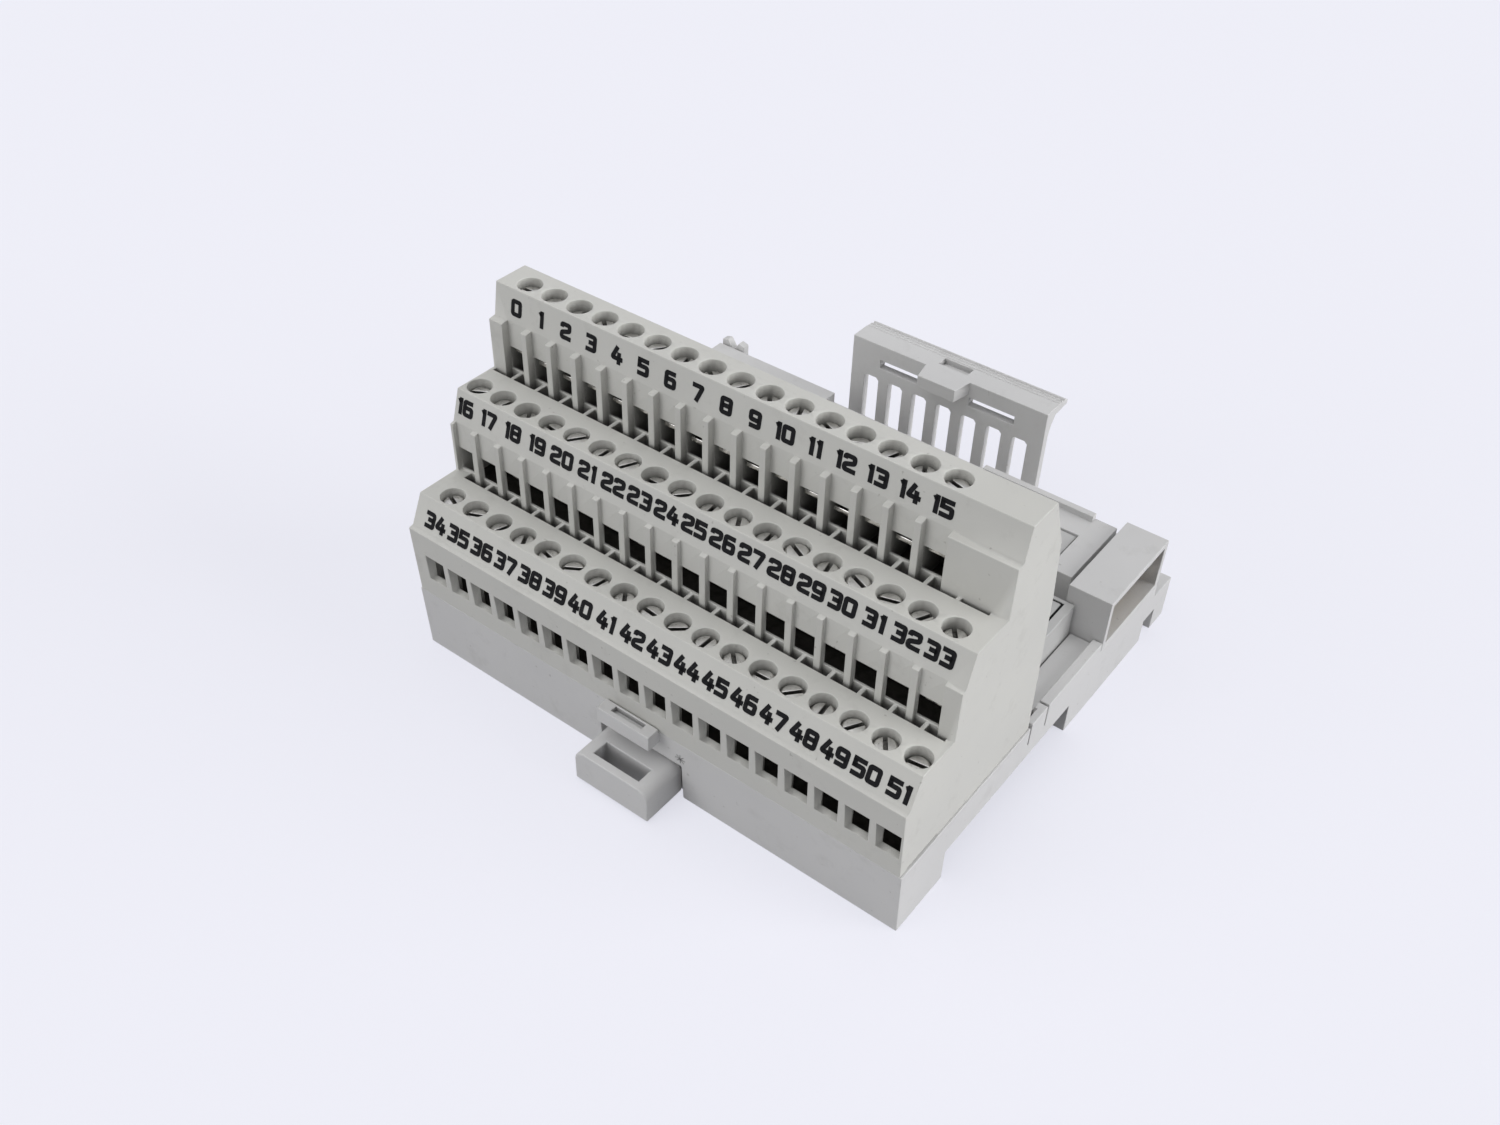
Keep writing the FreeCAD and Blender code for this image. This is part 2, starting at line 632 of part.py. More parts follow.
def din_latch():
    """Sliding foot: round-shouldered tab with finger slot, flat blade, and a sloped nose for the rail."""
    left = MIDDLE_X - TAB_HALF_WIDTH
    right = MIDDLE_X + TAB_HALF_WIDTH
    inset = TAB_RADIUS * (1 - math.sqrt(0.5))
    side = TAB_TOP_Z - TAB_RADIUS

    def at(x, z):
        return Vector(x, TAB_FRONT_Y, z)

    def shoulder(*corners):
        return Part.Arc(*[at(x, z) for x, z in corners]).toShape()

    edges = [
        Part.makeLine(at(left, side), at(left, TAB_LOW_Z)),
        Part.makeLine(at(left, TAB_LOW_Z), at(right, TAB_LOW_Z)),
        Part.makeLine(at(right, TAB_LOW_Z), at(right, side)),
        shoulder((right, side), (right - inset, TAB_TOP_Z - inset), (right - TAB_RADIUS, TAB_TOP_Z)),
        Part.makeLine(at(right - TAB_RADIUS, TAB_TOP_Z), at(left + TAB_RADIUS, TAB_TOP_Z)),
        shoulder((left + TAB_RADIUS, TAB_TOP_Z), (left + inset, TAB_TOP_Z - inset), (left, side)),
    ]
    tab = Part.Face(Part.Wire(edges)).extrude(Vector(0, TAB_REAR_Y - TAB_FRONT_Y, 0))
    low, top = BLADE_ZS
    nose = [(0, low), (BLADE_TIP_Y - BLADE_SLOPE, low), (BLADE_TIP_Y, low + BLADE_SLOPE),
            (BLADE_TIP_Y, top), (0, top)]
    blade = prism_x(nose, MIDDLE_X - BLADE_HALF_WIDTH, MIDDLE_X + BLADE_HALF_WIDTH)
    finger_slot = box((MIDDLE_X - FINGER_SLOT_HALF, FINGER_SLOT_YS[0], -1),
                      (MIDDLE_X + FINGER_SLOT_HALF, FINGER_SLOT_YS[1], ABOVE))
    spring_window = box((MIDDLE_X - SPRING_WINDOW_HALF, SPRING_WINDOW_YS[0], 0),
                        (MIDDLE_X + SPRING_WINDOW_HALF, SPRING_WINDOW_YS[1], ABOVE))
    return tab.fuse(blade).cut([finger_slot, spring_window]).removeSplitter()


def din_latch_spring():
    """Steel strip folded in a zigzag between the post of the base and the latch window."""
    first = POST_YS[1] + SPRING_HALF_THICKNESS
    last = SPRING_WINDOW_YS[1] - SPRING_HALF_THICKNESS
    step = (last - first) / SPRING_FOLDS
    turns = [first] + [first + step * i for i in range(SPRING_FOLDS + 1)] + [last]
    half = SPRING_HALF_WIDTH
    line = [(MIDDLE_X + (half if i % 2 else -half), y) for i, y in enumerate(turns)]
    return prism_z(strip_outline(line, SPRING_HALF_THICKNESS), *SPRING_ZS)


def circuit_board():
    """Board on the shelf of the tray, under the whole block and bay."""
    return box((BOARD_SIDE, BOARD_FRONT_Y, FLOOR_Z), (BASE_WIDTH - BOARD_SIDE, BOARD_REAR_Y, BOARD_TOP_Z))


def bay_deck():
    """Bay cover: floor plate, raised bus deck with rib, and the tunnel of the sliding connector."""
    side = WALL + GAP
    plate = box((side, RIM_FRONT_Y + GAP, SHELF_Z), (BASE_WIDTH - side, WELL_REAR_Y - GAP, DECK_FLOOR_Z))
    tail = box((TAIL_SIDE, TAIL_FRONT_Y, SHELF_Z), (BASE_WIDTH - TAIL_SIDE, REAR_WALL_Y - GAP, DECK_FLOOR_Z))
    raised = box((DECK_LEFT_X, DECK_FRONT_Y, SHELF_Z), (DECK_RIGHT_X, DECK_REAR_Y, DECK_TOP_Z))
    rib = box((RIB_XS[0], RIB_YS[0], DECK_TOP_Z - ROOT_DEPTH), (RIB_XS[1], RIB_YS[1], DECK_TOP_Z + RIB_RISE))
    tunnel = box((0, BUS_FRONT_Y, SHELF_Z), (TUNNEL_END_X, BUS_REAR_Y, BUS_TOP_Z))
    return plate.fuse([tail, raised, rib, tunnel]).cut(deck_spaces()).removeSplitter()


def deck_spaces():
    """Hollow of the deck, bore of the tunnel, and the openings for connectors, ribbon, arm and dial."""
    bore_low, bore_top = TUNNEL_ZS
    window_left, window_right = RIBBON_WINDOW_XS
    ribbon_half = RIBBON_HALF_WIDTH + 2.5 * GAP
    arm_reach = ARM_XS[1] + 2 * GAP
    arm_low, arm_top = ARM_ZS[0] - 1.5 * GAP, ARM_ZS[1] + 1.5 * GAP
    spaces = [
        box((TUNNEL_END_X + DECK_WALL, DECK_FRONT_Y + DECK_WALL, 0),
            (DECK_RIGHT_X - DECK_WALL, DECK_REAR_Y - DECK_WALL, DECK_TOP_Z - DECK_WALL)),
        box((-1, BUS_MIDDLE_Y - TUNNEL_HALF_WIDTH, bore_low),
            (TUNNEL_END_X - DECK_WALL, BUS_MIDDLE_Y + TUNNEL_HALF_WIDTH, bore_top)),
        box((window_left, BUS_MIDDLE_Y - ribbon_half, 0),
            (window_right, BUS_MIDDLE_Y + ribbon_half, bore_low)),
        box((-1, BUS_MIDDLE_Y, arm_low), (arm_reach, BUS_REAR_Y + 1, arm_top)),
        box((SHROUD_X - GAP, BUS_FRONT_Y - GAP, 0), (BASE_WIDTH, BUS_REAR_Y + GAP, ABOVE)),
        Part.makeCylinder(SHAFT_RADIUS + SHAFT_CLEARANCE, ABOVE, Vector(DIAL_X, DIAL_Y, BOARD_TOP_Z)),
    ]
    for xs, ys in ((FIELD_XS, FIELD_YS), (MODULE_XS, MODULE_YS)):
        spaces.append(box((xs[0] - GAP, ys[0] - GAP, 0), (xs[1] + GAP, ys[1] + GAP, ABOVE)))
    return spaces


def key_dial():
    """Keying dial: round knob with a driver slot and a pointer notch, on a short shaft."""
    foot = DECK_FLOOR_Z + DIAL_LIFT
    knob = many_sided(0, 0, DIAL_RADIUS, DIAL_SIDES, foot, DIAL_TOP_Z)
    shaft = Part.makeCylinder(SHAFT_RADIUS, SHAFT_LENGTH, Vector(0, 0, foot - SHAFT_LENGTH))
    slot_x, slot_y = DIAL_SLOT_HALF
    slot = box((-slot_x, -slot_y, DIAL_SLOT_Z), (slot_x, slot_y, ABOVE))
    tip, wide = DIAL_POINTER_XS
    outline = [(tip, 0), (wide, DIAL_POINTER_HALF), (wide, -DIAL_POINTER_HALF)]
    pointer = prism_z(outline, DIAL_POINTER_Z, ABOVE)
    dial = knob.fuse(shaft).cut([slot, pointer]).removeSplitter()
    dial.translate(Vector(DIAL_X, DIAL_Y, 0))
    return dial


def contact_blades(xs, ys, high):
    """Upright contact blades in straight rows on the board."""
    half_x, half_y = BLADE_HALF
    blades = []
    for y in ys:
        for x in xs:
            blades.append(box((x - half_x, y - half_y, BOARD_TOP_Z), (x + half_x, y + half_y, high)))
    return Part.makeCompound(blades)


def field_connector_housing():
    """Connector box for the module's field side, with two long contact slots and an engraved frame line."""
    left, right = FIELD_XS
    front, rear = FIELD_YS
    body = box((left, front, BOARD_TOP_Z), (right, rear, FIELD_TOP_Z))
    slot_left, slot_right = FIELD_SLOT_XS
    spaces = []
    for y in FIELD_ROW_YS:
        spaces.append(box((slot_left, y - FIELD_SLOT_HALF, 0), (slot_right, y + FIELD_SLOT_HALF, ABOVE)))
    line_x = right - FRAME_LINE_INSET
    line_y = rear - FRAME_LINE_INSET / 2
    line_z = FIELD_TOP_Z - FRAME_LINE_DEPTH
    spaces.append(box((line_x - FRAME_LINE, front + FRAME_LINE_INSET, line_z), (line_x, line_y, ABOVE)))
    spaces.append(box((left + FRAME_LINE_INSET, line_y - FRAME_LINE, line_z), (line_x, line_y, ABOVE)))
    return body.cut(spaces).removeSplitter()


def bus_connector_housing():
    """Connector in the raised deck for the module's bus side, with one wide slot."""
    top = DECK_TOP_Z - MODULE_SINK
    body = box((MODULE_XS[0], MODULE_YS[0], BOARD_TOP_Z), (MODULE_XS[1], MODULE_YS[1], top))
    slot = box((MODULE_SLOT_XS[0], MODULE_SLOT_YS[0], 0), (MODULE_SLOT_XS[1], MODULE_SLOT_YS[1], ABOVE))
    return body.cut(slot)


def bus_header_shroud():
    """Open box of the male bus connector, facing right, standing on the board and the side wall."""
    body = box((SHROUD_X, BUS_FRONT_Y, SHROUD_FOOT_Z), (BASE_WIDTH, BUS_REAR_Y, BUS_TOP_Z))
    foot = box((SHROUD_X, BUS_FRONT_Y, BOARD_TOP_Z), (SHROUD_FOOT_X, BOARD_REAR_Y, SHROUD_FOOT_Z))
    cavity = box((SHROUD_X + DECK_WALL, BUS_FRONT_Y + SHROUD_WALL, SHROUD_FOOT_Z + SHROUD_WALL),
                 (BASE_WIDTH + 1, BUS_REAR_Y - SHROUD_WALL, BUS_TOP_Z - SHROUD_WALL))
    return body.fuse(foot).cut(cavity).removeSplitter()


def bus_pole_bars(x0, x1, half):
    """Square bars along x in two rows of bus poles."""
    first_y = BUS_MIDDLE_Y - BUS_PITCH * (BUS_POLES - 1) / 2
    bars = []
    for z in BUS_ROW_ZS:
        for y in [first_y + BUS_PITCH * i for i in range(BUS_POLES)]:
            bars.append(box((x0, y - half, z - half), (x1, y + half, z + half)))
    return Part.makeCompound(bars)


def bus_slider_housing():
    """Sliding female bus connector with two long pin slots and a forked finger tab at its rear side."""
    plug = box((PLUG_XS[0], BUS_MIDDLE_Y - PLUG_HALF_WIDTH, PLUG_ZS[0]),
               (PLUG_XS[1], BUS_MIDDLE_Y + PLUG_HALF_WIDTH, PLUG_ZS[1]))
    arm_low, arm_top = ARM_ZS
    arm = box((ARM_XS[0], BUS_MIDDLE_Y, arm_low), (ARM_XS[1], FINGER_YS[1], arm_top))
    left, right = FINGER_XS
    middle = (left + right) / 2
    prong = (middle - left) / 2
    outline = [(left, arm_low), (right, arm_low), (right, FINGER_SHOULDER_Z),
               (middle + prong, FINGER_TIP_Z), (middle, FORK_Z), (middle - prong, FINGER_TIP_Z),
               (left, FINGER_SHOULDER_Z)]
    finger = prism_y(outline, *FINGER_YS)
    half_y, half_z = PIN_SLOT_HALF
    slots = []
    for z in BUS_ROW_ZS:
        slots.append(box((0, BUS_MIDDLE_Y - half_y, z - half_z),
                         (PIN_SLOT_DEPTH_X, BUS_MIDDLE_Y + half_y, z + half_z)))
    return plug.fuse([arm, finger]).cut(slots).removeSplitter()


def bus_ribbon():
    """Flexible strip that loops from the back of the sliding connector down to the board."""
    half = RIBBON_HALF_THICKNESS
    start = PLUG_XS[1] + half
    land_z = BOARD_TOP_Z + half
    land_start, land_end = RIBBON_LAND_XS
    upper_z, lower_z = RIBBON_JOINT_ZS
    line = [(start, upper_z), (start, lower_z), *RIBBON_BENDS, (land_start, land_z), (land_end, land_z)]
    outline = strip_outline(line, half)
    return prism_y(outline, BUS_MIDDLE_Y - RIBBON_HALF_WIDTH, BUS_MIDDLE_Y + RIBBON_HALF_WIDTH)


def latch_plate():
    """Side profile of the latch: rounded foot on the pivot line, thin plate that flares into the rear
    lip, and a stepped finger grip on top."""
    face = LATCH_FACE_Y
    back = face + LATCH_THICKNESS
    top = LATCH_TOP_Z
    lip_low = top - LIP_THICKNESS
    heel = PIVOT_Y - LATCH_FOOT_HALF
    sole = PIVOT_Z - LATCH_FOOT_HALF
    flat = LATCH_FOOT_FLAT
    edge_low, edge_top = [top - drop for drop in LIP_EDGE_DROPS]
    flare_low, flare_high = [lip_low - drop for drop in FLARE_DROPS]
    grip_y = LIP_STEP_Y + GRIP_WIDTH
    outline = [(face, PIVOT_Z + LATCH_HEEL_RISE), (heel, PIVOT_Z + flat), (heel, PIVOT_Z - flat),
               (PIVOT_Y - flat, sole), (PIVOT_Y + flat, sole), (back, PIVOT_Z - flat)]
    outline += [(back, flare_low), (back + FLARE_DEPTH, flare_high), (back + LATCH_THICKNESS, lip_low)]
    outline += [(LIP_STEP_Y, lip_low), (LATCH_REAR_Y, edge_low), (LATCH_REAR_Y, edge_top)]
    outline += [(grip_y, top - 2 * GRIP_STEP), (grip_y, top - GRIP_STEP), (LIP_STEP_Y, top - GRIP_STEP),
                (LIP_STEP_Y, top), (face, top)]
    return prism_x(outline, MIDDLE_X - LATCH_HALF_WIDTH, MIDDLE_X + LATCH_HALF_WIDTH)


def latch_spaces():
    """Row of upright slots with cut corners, two long slits beside the hook, and the pocket in the top."""
    front, rear = LATCH_FACE_Y - 1, LATCH_REAR_Y
    low, high = LATCH_SLOT_ZS
    shoulder = high - LATCH_SLOT_CORNER
    half, top_half = LATCH_SLOT_HALF, LATCH_SLOT_HALF - LATCH_SLOT_CORNER
    spaces = []
    for i in range(LATCH_SLOTS):
        x = MIDDLE_X + LATCH_SLOT_PITCH * (i - (LATCH_SLOTS - 1) / 2)
        outline = [(x - half, low), (x + half, low), (x + half, shoulder), (x + top_half, high),
                   (x - top_half, high), (x - half, shoulder)]
        spaces.append(prism_y(outline, front, rear))
    near, far = SLIT_XS
    for x0, x1 in ((-far, -near), (near, far)):
        low, high = SLIT_ZS
        spaces.append(box((MIDDLE_X + x0, front, low), (MIDDLE_X + x1, rear, high)))
    spaces.append(box((MIDDLE_X - TOP_POCKET_HALF, TOP_POCKET_YS[0], LATCH_TOP_Z - TOP_POCKET_DEPTH),
                      (MIDDLE_X + TOP_POCKET_HALF, TOP_POCKET_YS[1], ABOVE)))
    return spaces


def module_latch():
    """Slotted latch plate with pivot studs and a hook that holds the module down."""
    left = MIDDLE_X - LATCH_HALF_WIDTH
    right = MIDDLE_X + LATCH_HALF_WIDTH
    studs = []
    for x in (left - STUD_LENGTH, right):
        studs.append(rod_x(PIVOT_Y, PIVOT_Z, PIVOT_RADIUS, x, x + STUD_LENGTH))
    root_y = LATCH_FACE_Y + CATCH_ROOT_DEPTH
    hook_outline = [(MIDDLE_X - CATCH_ROOT_HALF, root_y), (MIDDLE_X - CATCH_TIP_HALF, CATCH_FRONT_Y),
                    (MIDDLE_X + CATCH_TIP_HALF, CATCH_FRONT_Y), (MIDDLE_X + CATCH_ROOT_HALF, root_y)]
    hook = prism_z(hook_outline, CATCH_LOW_Z, LATCH_TOP_Z)
    return latch_plate().cut(latch_spaces()).fuse(studs + [hook]).removeSplitter()


def pieces():
    """Every piece by its node name."""
    parts = {
        "base_housing": base_housing(),
        "terminal_housing": terminal_housing(),
        "din_latch": din_latch(),
        "din_latch_spring": din_latch_spring(),
        "circuit_board": circuit_board(),
        "bay_deck": bay_deck(),
        "key_dial": key_dial(),
        "field_connector_housing": field_connector_housing(),
        "field_connector_contacts": contact_blades(FIELD_CONTACT_XS, FIELD_ROW_YS, FIELD_CONTACT_TOP_Z),
        "bus_connector_housing": bus_connector_housing(),
        "bus_connector_contacts": contact_blades(MODULE_CONTACT_XS, MODULE_ROW_YS, MODULE_CONTACT_TOP_Z),
        "bus_header_shroud": bus_header_shroud(),
        "bus_header_pins": bus_pole_bars(*PIN_XS, PIN_HALF),
        "bus_slider_housing": bus_slider_housing(),
        "bus_slider_contacts": bus_pole_bars(*SOCKET_XS, SOCKET_HALF),
        "bus_ribbon": bus_ribbon(),
        "module_latch": module_latch(),
        "upper_row_bars": upper_row_bars(),
        "middle_row_bar": common_bar(MIDDLE),
        "lower_row_bar": common_bar(LOWER),
    }
    for row in ROWS:
        parts[row.name + "_screws"] = screws(row)
        parts[row.name + "_clamps"] = clamps(row)
    return parts


os.makedirs("parts", exist_ok=True)
for name, shape in pieces().items():
    shape.translate(-ORIGIN)
    shape.exportStep("parts/" + name + ".step")
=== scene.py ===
import bmesh
import bpy
import math
import numpy as np
from mathutils import Matrix, Vector


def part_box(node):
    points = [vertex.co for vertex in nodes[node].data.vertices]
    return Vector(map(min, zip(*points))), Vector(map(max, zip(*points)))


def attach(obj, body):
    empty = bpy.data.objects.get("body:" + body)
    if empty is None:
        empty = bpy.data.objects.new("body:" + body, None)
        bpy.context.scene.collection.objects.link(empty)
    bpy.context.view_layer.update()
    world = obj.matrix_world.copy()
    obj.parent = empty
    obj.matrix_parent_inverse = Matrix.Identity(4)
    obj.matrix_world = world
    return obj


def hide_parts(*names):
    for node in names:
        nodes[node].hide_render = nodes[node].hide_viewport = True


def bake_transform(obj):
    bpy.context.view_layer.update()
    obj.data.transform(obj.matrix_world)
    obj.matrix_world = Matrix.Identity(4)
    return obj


# Three-level screw terminal base for a mounting rail, with a bay for one plug-in module behind.
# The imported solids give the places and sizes; this script gives them their finish.
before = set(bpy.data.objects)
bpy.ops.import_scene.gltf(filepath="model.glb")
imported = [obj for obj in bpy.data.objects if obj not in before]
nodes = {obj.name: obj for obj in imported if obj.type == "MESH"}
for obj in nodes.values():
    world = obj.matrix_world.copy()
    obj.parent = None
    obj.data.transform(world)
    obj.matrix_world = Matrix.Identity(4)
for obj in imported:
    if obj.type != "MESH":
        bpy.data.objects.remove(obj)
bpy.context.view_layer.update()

# Base tray: the lower housing with rail channel, feet, side rims, front ledge and rear wall.
# It is moulded in cool light grey glass-filled plastic with a fine matt grain, and carries
# everything else. Its corners are slightly rounded, and handling has left faint soiling.
MM = 0.001
BASE_GREY = (0.625, 0.622, 0.62)
SOIL = (0.20, 0.185, 0.16)
# Near-black colour of the painted shade that darkens narrow recesses.
RECESS_SHADE = (0.035, 0.033, 0.03)
CLOUD_SIZE = 14 * MM
SPECK_SIZE = 0.9 * MM
SMEAR_SIZE = 5 * MM
GRAIN_SIZE = 0.22 * MM
GRAIN_DEPTH = 0.03 * MM
CELL_REACH = 9 * MM
WELD_STEP = 0.001 * MM
TRAY_EDGE = 0.14 * MM
ROUNDED_TURN = 38
CREASE_TURN = 9


def feed(tree, value, socket):
    """Links the output of another node to a socket, or sets the socket to a plain value."""
    if isinstance(value, bpy.types.NodeSocket):
        tree.links.new(value, socket)
    else:
        socket.default_value = value


def add_node(tree, kind, settings=None, **inputs):
    """Adds one shader node. An input is a plain value, or the output of another node."""
    node = tree.nodes.new("ShaderNode" + kind)
    for name, value in (settings or {}).items():
        setattr(node, name, value)
    for name, value in inputs.items():
        feed(tree, value, node.inputs[name.replace("_", " ")])
    return node


def new_finish(name):
    """Empty material: its node tree, its shader and the object's own coordinates."""
    material = bpy.data.materials.new(name)
    material.use_nodes = True
    tree = material.node_tree
    place = add_node(tree, "TexCoord").outputs["Object"]
    return material, tree, tree.nodes["Principled BSDF"], place


def noise(tree, place, size, detail=2.0, roughness=0.5):
    """Cloudy value from 0 to 1 whose lumps are about size metres across."""
    cloud = add_node(tree, "TexNoise", Vector=place, Scale=1 / size, Detail=detail, Roughness=roughness)
    return cloud.outputs["Fac"]


def ramp(tree, value, low, high, start=0.0, end=1.0):
    """Value carried from the range low..high to start..end, and held at both ends."""
    return add_node(tree, "MapRange", Value=value, From_Min=low, From_Max=high,
                    To_Min=start, To_Max=end).outputs["Result"]


def combine(tree, operation, one, other):
    """Two values joined by one operation, such as MULTIPLY or MAXIMUM."""
    node = add_node(tree, "Math", {"operation": operation})
    feed(tree, one, node.inputs[0])
    feed(tree, other, node.inputs[1])
    return node.outputs["Value"]


def mix(tree, share, one, other):
    """Colour between two: the one where share is 0, and the other where it is 1."""
    return add_node(tree, "MixRGB", Fac=share, Color1=one, Color2=other).outputs["Color"]


def shade_of(colour, share=1.0):
    """The same colour, lighter or darker, with full opacity."""
    return tuple(min(1.0, channel * share) for channel in colour) + (1.0,)


def grimed(tree, colour, reach, closed, clear, most):
    """Colour with painted shade, near black, in narrow places. The share of open space within reach decides:
    the painted shade has its full strength, most, where that share is below closed, and ends where it is
    above clear."""
    space = add_node(tree, "AmbientOcclusion", {"samples": 6, "only_local": True}, Distance=reach)
    share = ramp(tree, space.outputs["AO"], closed, clear, most, 0.0)
    return mix(tree, share, colour, shade_of(RECESS_SHADE))


def moulded_plastic(name, colour, roughness, soiling):
    """Moulded plastic: uneven tone, rare dark specks, soft soiling in clouds, painted shade in deep cells and
    recesses, and a fine eroded grain."""
    material, tree, shader, place = new_finish(name)
    clouds = noise(tree, place, CLOUD_SIZE, 3.0)
    tone = mix(tree, ramp(tree, clouds, 0.3, 0.7), shade_of(colour, 0.965), shade_of(colour, 1.03))
    specks = ramp(tree, noise(tree, place, SPECK_SIZE, 2.0, 0.4), 0.735, 0.79)
    smears = ramp(tree, noise(tree, place, SMEAR_SIZE, 5.0, 0.7), 0.56, 0.8, 0.0, 0.5)
    soil = combine(tree, "MULTIPLY", combine(tree, "MAXIMUM", specks, smears), soiling)
    soiled = mix(tree, soil, tone, shade_of(SOIL))
    # Painted shade: deep cells, pockets and creases are darkened towards near black.
    recess_shaded = grimed(tree, soiled, CELL_REACH, closed=0.12, clear=0.3, most=0.9)
    tree.links.new(recess_shaded, shader.inputs["Base Color"])
    gloss = ramp(tree, clouds, 0.3, 0.7, roughness - 0.05, roughness + 0.06)
    tree.links.new(gloss, shader.inputs["Roughness"])
    grain = noise(tree, place, GRAIN_SIZE, 3.0, 0.6)
    relief = add_node(tree, "Bump", Strength=0.22, Distance=GRAIN_DEPTH, Height=grain)
    tree.links.new(relief.outputs["Normal"], shader.inputs["Normal"])
    return material


def points_of(mesh):
    """Points of a mesh, one row of x, y, z for each."""
    points = np.empty(len(mesh.vertices) * 3, np.float32)
    mesh.vertices.foreach_get("co", points)
    return points.reshape(-1, 3)


def merged_copy(node, name):
    """Copy of a solid's mesh in which triangles that share a place share one point."""
    source = node.data
    source.calc_loop_triangles()
    corners = np.empty(len(source.loop_triangles) * 3, np.int32)
    source.loop_triangles.foreach_get("vertices", corners)
    steps = np.round(points_of(source) / WELD_STEP).astype(np.int64)
    places, index = np.unique(steps, axis=0, return_inverse=True)
    triangles = index.ravel()[corners].reshape(-1, 3)
    mesh = bpy.data.meshes.new(name)
    mesh.from_pydata(places * WELD_STEP, [], triangles.tolist())
    mesh.validate()
    return mesh


def round_edges(piece, width):
    """Small rounding on every outer edge that turns by more than ROUNDED_TURN degrees. Other edges that turn
    by more than CREASE_TURN stay sharp, and flat faces keep their own shading up to the rounding."""
    mesh = piece.data
    work = bmesh.new()
    work.from_mesh(mesh)
    turns = np.degrees([edge.calc_face_angle_signed(0.0) for edge in work.edges])
    work.free()
    outer = turns > ROUNDED_TURN
    weights = mesh.attributes.new("bevel_weight_edge", "FLOAT", "EDGE")
    weights.data.foreach_set("value", outer.astype(np.float32))
    creases = mesh.attributes.new("sharp_edge", "BOOLEAN", "EDGE")
    creases.data.foreach_set("value", (np.abs(turns) > CREASE_TURN) & ~outer)
    edges = piece.modifiers.new("rounded edges", "BEVEL")
    edges.width = width
    edges.segments = 2
    edges.limit_method = "WEIGHT"
    edges.use_clamp_overlap = False
    edges.loop_slide = False
    edges.face_strength_mode = "FSTR_ALL"
    shading = piece.modifiers.new("even shading", "WEIGHTED_NORMAL")
    shading.weight = 100
    shading.use_face_influence = True
    shading.keep_sharp = True


def put_in_scene(name, mesh, finish, body):
    """Object of a finished mesh. It moves with a body, if one is named, and carries the finish that it is
    given."""
    mesh.polygons.foreach_set("use_smooth", np.ones(len(mesh.polygons), bool))
    mesh.materials.append(finish)
    piece = bpy.data.objects.new(name, mesh)
    bpy.context.scene.collection.objects.link(piece)
    if body:
        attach(piece, body)
    return piece


def mould(node_name, finish, edge, body):
    """Moulded piece: the solid's own form with rounded edges, shown in place of the solid."""
    mesh = merged_copy(nodes[node_name], node_name + "_moulding")
    piece = put_in_scene(node_name + "_moulding", mesh, finish, body)
    round_edges(piece, edge)
    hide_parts(node_name)


base_plastic = moulded_plastic("cool grey moulded plastic", BASE_GREY, roughness=0.5, soiling=0.35)
mould("base_housing", base_plastic, TRAY_EDGE, "base")

# Gate mark: the small raised star that the mould's filling point left on the front wall.
# It is the same plastic as the tray, darkened by the dirt that it holds.
GATE_X = 8.0 * MM
GATE_Z = 9.1 * MM
GATE_LINES = 4
GATE_REACH = 0.95 * MM
GATE_WIDTH = 0.15 * MM
GATE_DEPTH = 0.05 * MM
GATE_LIFT = 0.012 * MM
GATE_SHADE = 0.25
FRONT_INSET = 3.2 * MM
FRONT_LEAN = -0.05


def grid_quads(rows, columns, start, columns_close):
    """Corner numbers of the quads of a grid, counted row by row from start. Where the columns close, the
    last joins the first."""
    row = np.arange(rows - 1)[:, None]
    column = np.arange(columns if columns_close else columns - 1)[None, :]
    here, beyond = row * columns, (row + 1) * columns
    right = (column + 1) % columns
    quads = np.stack([here + column, here + right, beyond + right, beyond + column], -1)
    return quads.reshape(-1, 4) + start


def mesh_of_grids(name, grids, columns_close=False):
    """One mesh from several grids of points, each rows by columns by three, in metres."""
    starts = np.cumsum([0] + [grid.shape[0] * grid.shape[1] for grid in grids])
    points = np.concatenate([grid.reshape(-1, 3) for grid in grids])
    quads = np.concatenate([grid_quads(*grid.shape[:2], start, columns_close)
                            for grid, start in zip(grids, starts)])
    mesh = bpy.data.meshes.new(name)
    mesh.from_pydata(points, [], quads.tolist())
    return mesh


def strip(path, width):
    """Flat strip of even width along a line of (u, v) points: each point goes half the width to both sides,
    along the mean normal of its two segments, stretched by one over the cosine of half the turn."""
    runs = np.diff(path, axis=0)
    runs /= np.linalg.norm(runs, axis=1)[:, None]
    normals = np.stack([-runs[:, 1], runs[:, 0]], -1)
    before = np.vstack([normals[:1], normals])
    after = np.vstack([normals, normals[-1:]])
    side = (before + after) / (1 + (before * after).sum(1))[:, None]
    return np.stack([path + side * width / 2, path - side * width / 2], 1)


def thicken(piece, depth):
    """Gives a flat piece its thickness, and flat shading."""
    piece.data.shade_flat()
    skin = piece.modifiers.new("thickness", "SOLIDIFY")
    skin.thickness = depth
    skin.offset = -1


front_foot_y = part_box("base_housing")[0].y + FRONT_INSET
gate_lines = []
for turn in np.arange(GATE_LINES) * np.pi / GATE_LINES:
    end = GATE_REACH * np.array([math.cos(turn), math.sin(turn)])
    flat = strip(np.array([-end, end]), GATE_WIDTH)
    x = GATE_X + flat[..., 0]
    z = GATE_Z + flat[..., 1]
    gate_lines.append(np.stack([x, front_foot_y + FRONT_LEAN * z - GATE_LIFT, z], -1))
gate_grey = shade_of(BASE_GREY, GATE_SHADE)[:3]
gate_plastic = moulded_plastic("soiled gate mark", gate_grey, roughness=0.5, soiling=0.6)
gate_mesh = mesh_of_grids("gate_mark", gate_lines)
gate_mark = put_in_scene("gate_mark", gate_mesh, gate_plastic, "base")
thicken(gate_mark, GATE_DEPTH)

